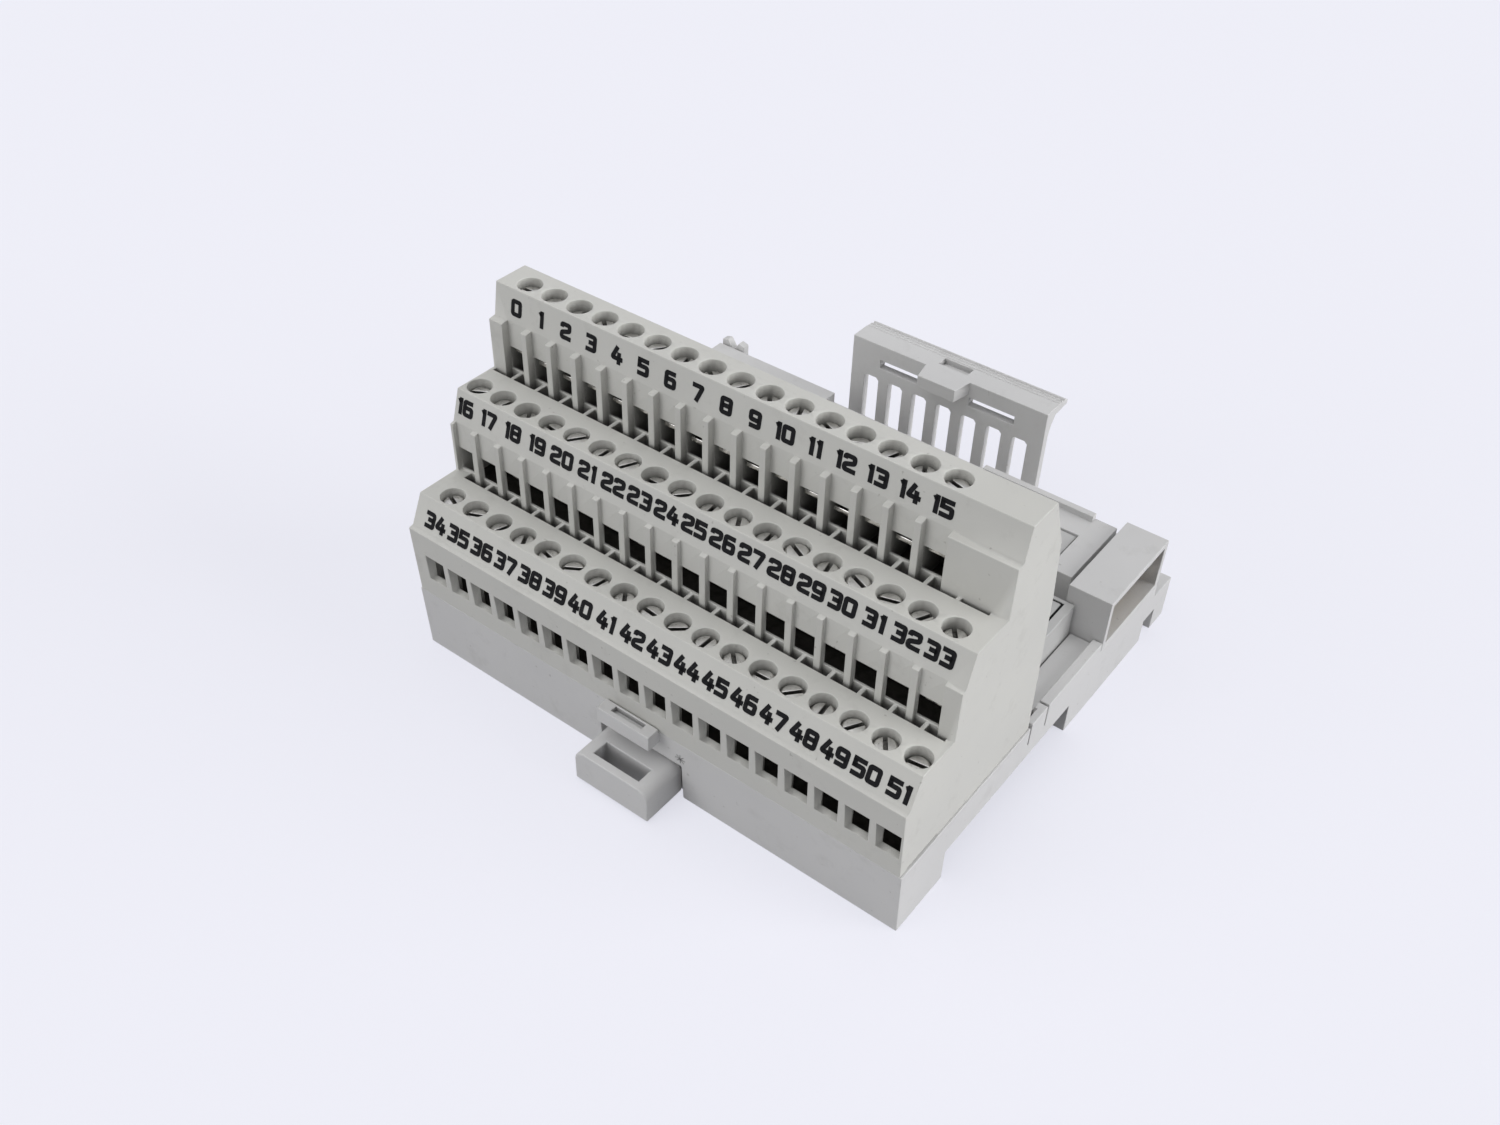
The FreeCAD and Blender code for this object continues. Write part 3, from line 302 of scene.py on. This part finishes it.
# Circuit board: the green panel on the tray's shelf that joins bars, connectors and bus.
# It is glass-fibre laminate under solder mask, with copper tracks that show through as lighter lines.
MASK_GREEN = (0.012, 0.075, 0.03)
TRACK_GREEN = (0.03, 0.14, 0.05)
TRACK_WIDTH = 0.14 * MM
TRACK_LENGTH = 9 * MM
TRACK_PITCH = 1.27 * MM


def dress(node_name, finish):
    """Gives a solid that is shown as it is its finish."""
    nodes[node_name].data.materials.clear()
    nodes[node_name].data.materials.append(finish)


board_mask, tree, shader, place = new_finish("green solder mask")
tracks = add_node(tree, "TexBrick", {"offset": 0.5}, Vector=place, Scale=1.0, Mortar_Size=TRACK_WIDTH,
                  Brick_Width=TRACK_LENGTH, Row_Height=TRACK_PITCH, Color1=shade_of(MASK_GREEN),
                  Color2=shade_of(MASK_GREEN), Mortar=shade_of(TRACK_GREEN))
tree.links.new(tracks.outputs["Color"], shader.inputs["Base Color"])
shader.inputs["Roughness"].default_value = 0.35
dress("circuit_board", board_mask)

# Rail latch: the sliding foot with the finger slot, in the tray's plastic, and its folded steel spring.
# The latch is loaded from the front. The spring stands between the tray's post and the latch's window, and on
# the real base it folds together as the latch is pulled out and pushes it home behind the mounting rail. Here
# the spring is a still copy that does not move with the latch.
LATCH_EDGE = 0.2 * MM
SPRING_STEEL = (0.52, 0.51, 0.49)
TARNISH_SIZE = 1.6 * MM
STREAK_SIZE = 0.25 * MM
SCRATCH_DEPTH = 0.01 * MM
SLOT_REACH = 1 * MM


def plated_metal(name, colour, roughness, tarnish):
    """Plated metal: brushed streaks of roughness, darker tarnish in clouds, and painted shade in slots."""
    material, tree, shader, place = new_finish(name)
    clouds = ramp(tree, noise(tree, place, TARNISH_SIZE, 4.0, 0.6), 0.45, 0.75, 0.0, tarnish)
    tone = mix(tree, clouds, shade_of(colour), shade_of(colour, 0.35))
    # Painted shade: slots and narrow hollows are darkened towards near black.
    recess_shaded = grimed(tree, tone, SLOT_REACH, closed=0.35, clear=0.75, most=0.9)
    tree.links.new(recess_shaded, shader.inputs["Base Color"])
    streaks = noise(tree, place, STREAK_SIZE, 2.0)
    gloss = ramp(tree, streaks, 0.3, 0.7, roughness - 0.08, roughness + 0.1)
    tree.links.new(gloss, shader.inputs["Roughness"])
    scratches = add_node(tree, "Bump", Strength=0.15, Distance=SCRATCH_DEPTH, Height=streaks)
    tree.links.new(scratches.outputs["Normal"], shader.inputs["Normal"])
    shader.inputs["Metallic"].default_value = 1.0
    return material


mould("din_latch", base_plastic, LATCH_EDGE, "rail_latch")
spring_steel = plated_metal("spring steel", SPRING_STEEL, roughness=0.35, tarnish=0.3)
spring_mesh = merged_copy(nodes["din_latch_spring"], "din_latch_spring_strip")
spring = put_in_scene("din_latch_spring_strip", spring_mesh, spring_steel, None)
spring_mesh.shade_flat()
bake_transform(spring)
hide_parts("din_latch_spring")

# Terminal housing: the stepped block with screw holes, leaning label faces, fins and wire entries.
# It is moulded in one piece in warm light grey plastic and clipped on the tray. The holes are round.
BLOCK_GREY = (0.595, 0.592, 0.56)
BLOCK_EDGE = 0.13 * MM
HOLE_RADIUS = 2.0 * MM
RIM_TOLERANCE = 0.01 * MM
RIM_CUTS = 3
PITCH = 5.08 * MM
SCREW_ROWS = ("upper_row_screws", "middle_row_screws", "lower_row_screws")


def row_places(node_name):
    """Middle and top of every screw of a row, from the points of its solid: one row of x, y, z for each."""
    points = points_of(nodes[node_name].data).astype(float)
    low, high = points.min(0), points.max(0)
    radius = (high[1] - low[1]) / 2
    count = round((high[0] - low[0] - 2 * radius) / PITCH) + 1
    number = np.round((points[:, 0] - low[0] - radius) / PITCH).astype(int)
    tops = np.full(count, -np.inf)
    np.maximum.at(tops, number, points[:, 2])
    xs = low[0] + radius + PITCH * np.arange(count)
    return np.stack([xs, np.full(count, low[1] + radius), tops], -1)


def from_nearest(points, centres):
    """Number of the nearest centre for every point, seen from above, and the offset from it."""
    offsets = points[:, None, :2] - centres[None, :, :2]
    nearest = np.argmin((offsets ** 2).sum(-1), 1)
    return nearest, offsets[np.arange(len(points)), nearest]


def round_holes(mesh, centres):
    """Cuts every rim edge of the many-sided holes into shorter ones, and moves the new points out to the
    circle."""
    work = bmesh.new()
    work.from_mesh(mesh)
    points = np.array([vertex.co for vertex in work.verts])
    ends = np.array([[vertex.index for vertex in edge.verts] for edge in work.edges])
    nearest, offset = from_nearest(points, centres)
    on_rim = np.abs(np.linalg.norm(offset, axis=1) - HOLE_RADIUS) < RIM_TOLERANCE
    level = np.abs(points[ends[:, 0], 2] - points[ends[:, 1], 2]) < WELD_STEP
    chosen = on_rim[ends].all(1) & level & (nearest[ends[:, 0]] == nearest[ends[:, 1]])
    work.edges.ensure_lookup_table()
    rims = [work.edges[number] for number in np.flatnonzero(chosen)]
    added = bmesh.ops.subdivide_edges(work, edges=rims, cuts=RIM_CUTS)["geom_inner"]
    fresh = [item for item in added if isinstance(item, bmesh.types.BMVert)]
    places = np.array([vertex.co for vertex in fresh])
    nearest, offset = from_nearest(places, centres)
    length = np.linalg.norm(offset, axis=1)[:, None]
    places[:, :2] = centres[nearest, :2] + offset * HOLE_RADIUS / length
    for vertex, place in zip(fresh, places):
        vertex.co = place
    work.to_mesh(mesh)
    work.free()


block_plastic = moulded_plastic("warm grey moulded plastic", BLOCK_GREY, roughness=0.5, soiling=0.4)
block_mesh = merged_copy(nodes["terminal_housing"], "terminal_housing_moulding")
screw_places = {row: row_places(row) for row in SCREW_ROWS}
round_holes(block_mesh, np.concatenate(list(screw_places.values())))
block = put_in_scene("terminal_housing_moulding", block_mesh, block_plastic, "base")
round_edges(block, BLOCK_EDGE)
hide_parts("terminal_housing")

# Terminal numbers: the black numbers 0 to 51, one over each wire entry, printed on the leaning faces.
# The ink is a thin matt film. Each figure is drawn with squared strokes of even width, on a square that
# reaches from 0 to 1 between the middles of the outer strokes.
INK = (0.006, 0.006, 0.007)
INK_RISE = 0.06 * MM
INK_DEPTH = 0.16 * MM
WORN_SIZE = 0.5 * MM
FIGURE_HEIGHT = 2.8 * MM
FIGURE_WIDTH = 2.2 * MM
FIGURE_STROKE = 0.7 * MM
FIGURE_GAP = 0.14 * MM
FIGURE_CORNER = 0.28 * MM
CORNER_POINTS = 5
NARROW_ONE = 0.52
FIGURES = {
    "0": [[(0.5, 0), (0, 0), (0, 1), (1, 1), (1, 0), (0.5, 0)]],
    "1": [[(1, 1.16), (1, -0.16)], [(-0.15, 0.84), (1, 1)]],
    "2": [[(0, 0.74), (0, 1), (1, 1), (1, 0.58), (0, 0.36), (0, 0), (1.22, 0)]],
    "3": [[(-0.15, 1), (1, 1), (1, 0), (-0.15, 0)], [(0.2, 0.52), (1, 0.52)]],
    "4": [[(0.55, 1.16), (-0.05, 0.27), (1.25, 0.27)], [(0.78, 0.75), (0.78, -0.16)]],
    "5": [[(-0.23, 1), (1.15, 1)], [(0, 1), (0, 0.5)], [(-0.23, 0.56), (1, 0.56), (1, 0), (-0.2, 0)]],
    "6": [[(1.1, 1), (0, 1), (0, 0), (1, 0), (1, 0.55), (0, 0.55)]],
    "7": [[(-0.2, 1), (1, 1), (0.35, -0.16)]],
    "8": [[(0.5, 0), (0, 0), (0, 1), (1, 1), (1, 0), (0.5, 0)], [(0, 0.52), (1, 0.52)]],
    "9": [[(-0.1, 0), (1, 0), (1, 1), (0, 1), (0, 0.45), (1, 0.45)]],
}
NUMBER_SHIFT = -0.15 * MM
LABEL_SLANT = 5.5 * MM
TOP_STEP = 14.3 * MM
HOLE_TO_EDGE = 2.55 * MM
# Each row: its screws, its first number, how far its label face leans back, and how low its numbers are.
LABEL_ROWS = (
    ("upper_row_screws", 0, 0.95 * MM, 2.95 * MM),
    ("middle_row_screws", 16, 1.65 * MM, 2.55 * MM),
    ("lower_row_screws", 34, 2.35 * MM, 3.4 * MM),
)


def rounded_path(corners, cut):
    """Line through the corners, in which each turn is a quadratic curve that starts and ends at cut from
    it."""
    steps = np.linspace(0, 1, CORNER_POINTS)[:, None]
    pieces = [corners[:1]]
    for before, corner, after in zip(corners, corners[1:], corners[2:]):
        start = corner + (before - corner) * min(0.5, cut / np.linalg.norm(before - corner))
        end = corner + (after - corner) * min(0.5, cut / np.linalg.norm(after - corner))
        pieces.append((1 - steps) ** 2 * start + 2 * steps * (1 - steps) * corner + steps ** 2 * end)
    return np.vstack(pieces + [corners[-1:]])


def figure_width(figure):
    """Width of one figure. The 1 is narrower than the others."""
    return FIGURE_WIDTH * (NARROW_ONE if figure == "1" else 1.0)


def figure_strips(figure, left):
    """Strokes of one figure as flat strips in metres, from its left edge, with the middle height at zero."""
    inner = np.array([figure_width(figure) - FIGURE_STROKE, FIGURE_HEIGHT - FIGURE_STROKE])
    corner = np.array([left + FIGURE_STROKE / 2, (FIGURE_STROKE - FIGURE_HEIGHT) / 2])
    lines = [np.array(stroke) * inner + corner for stroke in FIGURES[figure]]
    return [strip(rounded_path(line, FIGURE_CORNER), FIGURE_STROKE) for line in lines]


def number_strips(number):
    """Strokes of a whole number, centred on zero."""
    figures = str(number)
    widths = [figure_width(figure) for figure in figures]
    left = -(sum(widths) + FIGURE_GAP * (len(figures) - 1)) / 2
    strokes = []
    for figure, width in zip(figures, widths):
        strokes += figure_strips(figure, left)
        left += width + FIGURE_GAP
    return strokes


ink, tree, shader, place = new_finish("black print")
worn = ramp(tree, noise(tree, place, WORN_SIZE, 4.0, 0.7), 0.6, 0.8, 0.0, 0.12)
tree.links.new(mix(tree, worn, shade_of(INK), shade_of(BLOCK_GREY, 0.4)), shader.inputs["Base Color"])
shader.inputs["Roughness"].default_value = 0.7
shader.inputs["Specular IOR Level"].default_value = 0.15
block_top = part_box("terminal_housing")[1].z
along_row = np.array([1.0, 0, 0])
print_grids = []
for level, (row, first, lean, down) in enumerate(LABEL_ROWS):
    row_top = block_top - TOP_STEP * level
    drop = math.sqrt(LABEL_SLANT ** 2 - lean ** 2)
    up_face = np.array([0, lean, drop]) / LABEL_SLANT
    out_of_face = np.array([0, -drop, lean]) / LABEL_SLANT
    for number, (x, y, _) in enumerate(screw_places[row], first):
        edge = np.array([x + NUMBER_SHIFT, y - HOLE_TO_EDGE, row_top])
        middle = edge - up_face * down + out_of_face * INK_RISE
        for stroke in number_strips(number):
            along = stroke[..., 0, None] * along_row
            print_grids.append(middle + along + stroke[..., 1, None] * up_face)
numbers_mesh = mesh_of_grids("terminal_numbers", print_grids)
numbers = put_in_scene("terminal_numbers", numbers_mesh, ink, "base")
thicken(numbers, INK_DEPTH)

# Contact bars and pressure plates: tinned brass bars that carry the current down to the board,
# and the plated steel plates that each screw presses on its wire. They sit deep in the cells.
# The bars are coloured near black as painted shade for the dark cells that they stand in.
SHADED_BAR_METAL = (0.12, 0.115, 0.105)
PLATE_METAL = (0.78, 0.76, 0.72)
PLATE_EDGE = 0.12 * MM
shaded_bar_metal = plated_metal("tinned bar in painted shade", SHADED_BAR_METAL, roughness=0.5, tarnish=0.7)
plate_metal = plated_metal("plated pressure plate", PLATE_METAL, roughness=0.2, tarnish=0.7)
for row in ("upper_row_bars", "middle_row_bar", "lower_row_bar"):
    dress(row, shaded_bar_metal)
for row in ("upper_row_clamps", "middle_row_clamps", "lower_row_clamps"):
    mould(row, plate_metal, PLATE_EDGE, "base")

# Clamp screws: headless screws with a driver slot and a rolled thread, turned from steel and zinc plated.
# Each stands in its bar's bridge at the height and angle that the last wiring left. They are drawn a little
# further out than their solids, because the photograph shows more of them, and with its slot angles.
SCREW_METAL = (0.66, 0.65, 0.62)
SCREW_RADIUS = 1.7 * MM
SCREW_CHAMFER = 0.25 * MM
SCREW_EDGE = 0.05 * MM
SCREW_STEPS = 23
SLOT_WIDTH = 0.75 * MM
SLOT_DEPTH = 1.0 * MM
CORE_RADIUS = 1.4 * MM
HEAD_LENGTH = 1.4 * MM
THREAD_PITCH = 0.6 * MM
THREAD_POINTS = 16
THREAD_BITE = 0.05 * MM
THREAD_PROFILE = np.array([0.05, 0.5, 0.95])
FLUSH_DEPTH = 0.7 * MM
SCREWED_OUT = 0.5
# Slot angles in degrees by terminal number, where the photograph shows them. The rest step by a free turn.
SLOT_ANGLES = {8: 60, 9: 125, 20: 55, 22: 64, 26: 120, 27: 95,
               28: 154, 30: 158, 33: 127, 49: 60, 50: 125, 51: 8}
FREE_TURN = 47
screw_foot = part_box("upper_row_screws")[0].z
screw_length = screw_places["upper_row_screws"][:, 2].min() - screw_foot


def slotted_screw():
    """Closed grid of one screw without its thread. Rows step across the slot with v from -R to R. The columns
    of a row go up the core and the head on one side, over the chamfer and the top, and down the other side,
    at u = -sqrt(R^2 - v^2) and +sqrt(R^2 - v^2). Between the slot's walls the top lies deeper by the slot's
    depth."""
    half = SLOT_WIDTH / 2
    v = SCREW_RADIUS * np.sin(np.linspace(-np.pi / 2, np.pi / 2, SCREW_STEPS))
    near, far = v[v < -half], v[v > half]
    v = np.concatenate([near, [-half, -half, half, half], far])
    depth = np.zeros(len(v))
    depth[len(near) + 1:len(near) + 3] = SLOT_DEPTH
    u = np.sqrt(np.maximum(SCREW_RADIUS ** 2 - v ** 2, 0))
    core = CORE_RADIUS / SCREW_RADIUS
    crown = 1 - SCREW_CHAMFER / SCREW_RADIUS
    shoulder = -np.maximum(depth, SCREW_CHAMFER)
    levels = [(core, np.full(len(v), -screw_length)), (core, np.full(len(v), -HEAD_LENGTH))]
    levels += [(1, np.full(len(v), -HEAD_LENGTH)), (1, shoulder), (crown, -depth)]
    sides = [(-u * size, v * size, height) for size, height in levels]
    sides += [(u * size, v * size, height) for size, height in reversed(levels)]
    return np.stack([np.stack(side, -1) for side in sides], 1)


def thread():
    """Ridge of one thread: a triangle with its crest at the screw's radius, carried up a helix of angle t
    with z = pitch t / 2 pi from the foot to the head. The crest sinks into the core over the first and last
    half turn."""
    turns = (screw_length - HEAD_LENGTH - THREAD_PITCH) / THREAD_PITCH
    t = np.linspace(0, 2 * np.pi * turns, round(THREAD_POINTS * turns))[:, None]
    swell = np.clip(np.minimum(t, t[-1] - t) / np.pi, 0, 1)
    root = np.full(t.shape, CORE_RADIUS - THREAD_BITE)
    radius = np.hstack([root, root + (SCREW_RADIUS - root) * swell, root])
    z = THREAD_PITCH * t / (2 * np.pi) + THREAD_PITCH * THREAD_PROFILE - screw_length
    return np.stack([radius * np.cos(t), radius * np.sin(t), z], -1)


screw_metal = plated_metal("zinc plated screw", SCREW_METAL, roughness=0.34, tarnish=0.4)
screw_form = slotted_screw()
thread_form = thread()
thread_grids = []
for level, (row, first, _, _) in enumerate(LABEL_ROWS):
    row_top = block_top - TOP_STEP * level
    screw_grids = []
    for number, solid_top in enumerate(screw_places[row], first):
        sunk = max(0, row_top - solid_top[2] - FLUSH_DEPTH)
        top = solid_top + np.array([0, 0, SCREWED_OUT * sunk])
        angle = math.radians(SLOT_ANGLES.get(number, number * FREE_TURN % 180))
        cosine, sine = math.cos(angle), math.sin(angle)
        turn = np.array([[cosine, sine, 0], [-sine, cosine, 0], [0, 0, 1]])
        screw_grids.append(screw_form @ turn + top)
        thread_grids.append(thread_form @ turn + top)
    screws_mesh = mesh_of_grids(row + "_slotted", screw_grids, columns_close=True)
    screws = put_in_scene(row + "_slotted", screws_mesh, screw_metal, "base")
    round_edges(screws, SCREW_EDGE)
    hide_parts(row)
thread_mesh = mesh_of_grids("screw_threads", thread_grids, columns_close=True)
put_in_scene("screw_threads", thread_mesh, screw_metal, "base")

# Bay deck: the cover of the module bay, with the raised bus deck and the tunnel of the sliding connector.
# It is moulded in the tray's plastic and drops in over the board.
DECK_EDGE = 0.14 * MM
mould("bay_deck", base_plastic, DECK_EDGE, "base")

# Module connectors: the two long sockets of the bay, moulded in darker satin plastic,
# with tinned contact blades that stand on the board inside their slots.
CONNECTOR_GREY = (0.50, 0.50, 0.495)
BLADE_METAL = (0.62, 0.60, 0.55)
connector_plastic = moulded_plastic("satin connector plastic", CONNECTOR_GREY, roughness=0.42, soiling=0.3)
blade_metal = plated_metal("tinned blade", BLADE_METAL, roughness=0.3, tarnish=0.3)
for connector in ("field_connector", "bus_connector"):
    mould(connector + "_housing", connector_plastic, DECK_EDGE, "base")
    dress(connector + "_contacts", blade_metal)

# Frame line: the black line along the right and rear sides of the field connector's top.
# It is paint in the engraved groove of the moulding.
GROOVE_WIDTH = 0.4 * MM
GROOVE_RIGHT = 1.7 * MM
GROOVE_REAR = 0.95 * MM
GROOVE_END = 1.5 * MM
PAINT_DEPTH = 0.2 * MM
PAINT_FILM = 0.1 * MM
field_low, field_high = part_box("field_connector_housing")
groove_x = field_high.x - GROOVE_RIGHT
groove_y = field_high.y - GROOVE_REAR
groove_path = np.array([(groove_x, field_low.y + GROOVE_END),
                        (groove_x, groove_y),
                        (field_low.x + GROOVE_END, groove_y)])
paint_flat = strip(groove_path, GROOVE_WIDTH)
paint_grid = np.dstack([paint_flat, np.full(paint_flat.shape[:2], field_high.z - PAINT_DEPTH)])
paint_mesh = mesh_of_grids("frame_line_paint", [paint_grid])
paint_line = put_in_scene("frame_line_paint", paint_mesh, ink, "base")
thicken(paint_line, PAINT_FILM)

# Bus header: the open box at the right with two rows of gold-plated pins for the neighbouring base.
# The box is the tray's plastic; the pins are pressed through its rear wall.
GOLD = (0.80, 0.58, 0.22)
mould("bus_header_shroud", base_plastic, DECK_EDGE, "base")
gold_plate = plated_metal("gold plate", GOLD, roughness=0.25, tarnish=0.2)
dress("bus_header_pins", gold_plate)

# Sliding bus connector: the female half that slides out at the left, with its gold sockets,
# and the amber film ribbon that joins it to the board. A wave node's phase is 20 times its scaled place.
FILM = (0.42, 0.20, 0.04)
WIRE_PITCH = 0.9 * MM
WAVE_PHASE = 20
mould("bus_slider_housing", base_plastic, DECK_EDGE, "bus_slider")
dress("bus_slider_contacts", gold_plate)
ribbon_film, tree, shader, place = new_finish("amber film ribbon")
waves = add_node(tree, "TexWave", {"wave_type": "BANDS", "bands_direction": "Y"}, Vector=place,
                 Scale=2 * math.pi / (WAVE_PHASE * WIRE_PITCH), Distortion=0.0)
wires = ramp(tree, waves.outputs["Fac"], 0.4, 0.6)
tree.links.new(mix(tree, wires, shade_of(FILM), shade_of(FILM, 0.55)), shader.inputs["Base Color"])
shader.inputs["Roughness"].default_value = 0.25
dress("bus_ribbon", ribbon_film)

# Keying dial: the round knob on the bay floor that is set with a screwdriver to admit one kind of module.
# It is moulded in darker plastic and turns on a short shaft in the deck.
DIAL_GREY = (0.22, 0.225, 0.23)
dial_plastic = moulded_plastic("dark dial plastic", DIAL_GREY, roughness=0.45, soiling=0.3)
mould("key_dial", dial_plastic, DECK_EDGE, "key_dial")

# Module latch: the slotted upright plate at the rear that snaps over a module and leans back to free it.
# It is moulded in the tray's plastic and swings on two studs in the rear wall.
mould("module_latch", base_plastic, DECK_EDGE, "module_latch")

# Grip ridges: three low ribs along the rear of the module latch's lip, for the finger that pulls it.
# They are moulded with the latch. Each has a distance from the lip's rear edge and a height over its top.
RIDGE_PLACES = ((2.8 * MM, 0.12 * MM), (1.8 * MM, 0.04 * MM), (0.8 * MM, -0.06 * MM))
RIDGE_HALF = 0.3 * MM
RIDGE_ROOT = 0.8 * MM
RIDGE_REACH = 19.8 * MM
RIDGE_POINTS = 9
RIDGE_EDGE = 0.04 * MM


def ridge(y, low, high):
    """Closed grid of one rib along x: a half-ellipse of points y + h cos t, low + (high - low) sin t, drawn
    from one end of the lip to the other. Both ends close to the middle of the ellipse."""
    t = np.linspace(0, np.pi, RIDGE_POINTS)
    arc = np.stack([y + RIDGE_HALF * np.cos(t), low + (high - low) * np.sin(t)], -1)
    middle = np.broadcast_to(arc.mean(0), arc.shape)
    rows = [(-RIDGE_REACH, middle), (-RIDGE_REACH, arc), (RIDGE_REACH, arc), (RIDGE_REACH, middle)]
    return np.stack([np.column_stack([np.full(len(arc), x), outline]) for x, outline in rows])


lip_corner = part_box("module_latch")[1]
ridge_grids = [ridge(lip_corner.y - inset, lip_corner.z - RIDGE_ROOT, lip_corner.z + rise)
               for inset, rise in RIDGE_PLACES]
ridge_mesh = mesh_of_grids("module_latch_ridges", ridge_grids, columns_close=True)
ridges = put_in_scene("module_latch_ridges", ridge_mesh, base_plastic, "module_latch")
round_edges(ridges, RIDGE_EDGE)

# Stage: a plain pale floor, soft studio light from the right, and the photograph's viewing angle.
# The floor is a little brighter to the camera, so that it reads as white and still keeps the shadow.
FLOOR_HALF = 3.0
FLOOR_WHITE = (0.40, 0.40, 0.41)
FLOOR_SEEN = (0.29, 0.285, 0.30)
GLOW = (1.0, 1.01, 1.11)
GLOW_STRENGTH = 0.6
SKY_LIGHT = (0.29, 0.292, 0.30)
SKY_SEEN = (0.85, 0.86, 0.93)
# Each light: its name, the direction that it comes from, its strength and its spread in degrees.
LIGHTS = (
    ("right_rear", (0.88, 0.36, 0.25), 2.2, 40),
    ("overhead", (-0.15, -0.20, 0.97), 1.15, 70),
    ("front", (-0.45, -0.85, 0.27), 0.75, 40),
)
CAMERA_AT = Vector((0.1025, -0.15365, 0.1740))
CAMERA_RIGHT = Vector((0.7916, 0.6106, 0.0231))
CAMERA_UP = Vector((-0.4128, 0.5065, 0.757))
CAMERA_BACK = Vector((0.4505, -0.6088, 0.653))
FOCAL_LENGTH = 35.25
SENSOR_WIDTH = 36.0


def seen_rays(tree):
    """1 for rays from the camera and mirror rays, and 0 for the rays that carry light between surfaces."""
    rays = add_node(tree, "LightPath").outputs
    return combine(tree, "MAXIMUM", rays["Is Camera Ray"], rays["Is Glossy Ray"])


floor_mesh = bpy.data.meshes.new("floor")
floor_mesh.from_pydata([(x, y, 0) for x, y in ((-1, -1), (1, -1), (1, 1), (-1, 1))], [], [(0, 1, 2, 3)])
floor_mesh.transform(Matrix.Scale(FLOOR_HALF, 4))
floor = bpy.data.objects.new("floor", floor_mesh)
bpy.context.scene.collection.objects.link(floor)
floor_paper, tree, paper, _ = new_finish("pale floor")
seen = seen_rays(tree)
tree.links.new(mix(tree, seen, shade_of(FLOOR_WHITE), shade_of(FLOOR_SEEN)), paper.inputs["Base Color"])
paper.inputs["Roughness"].default_value = 0.9
paper.inputs["Specular IOR Level"].default_value = 0.0
paper.inputs["Emission Color"].default_value = GLOW + (1.0,)
tree.links.new(combine(tree, "MULTIPLY", seen, GLOW_STRENGTH), paper.inputs["Emission Strength"])
floor_mesh.materials.append(floor_paper)

world = bpy.data.worlds.new("soft studio")
world.use_nodes = True
tree = world.node_tree
sky = mix(tree, seen_rays(tree), shade_of(SKY_LIGHT), shade_of(SKY_SEEN))
tree.links.new(sky, tree.nodes["Background"].inputs["Color"])
bpy.context.scene.world = world
for name, source, strength, spread in LIGHTS:
    light = bpy.data.lights.new(name, "SUN")
    light.energy = strength
    light.angle = math.radians(spread)
    lamp = bpy.data.objects.new(name, light)
    lamp.rotation_euler = (-Vector(source)).to_track_quat("-Z", "Y").to_euler()
    bpy.context.scene.collection.objects.link(lamp)

lens = bpy.data.cameras.new("camera")
lens.lens = FOCAL_LENGTH
lens.sensor_width = SENSOR_WIDTH
camera = bpy.data.objects.new("camera", lens)
turn = Matrix((CAMERA_RIGHT, CAMERA_UP, CAMERA_BACK)).transposed().to_4x4()
camera.matrix_world = Matrix.Translation(CAMERA_AT) @ turn
bpy.context.scene.collection.objects.link(camera)
bpy.context.scene.camera = camera
bpy.context.scene.view_settings.view_transform = "Standard"
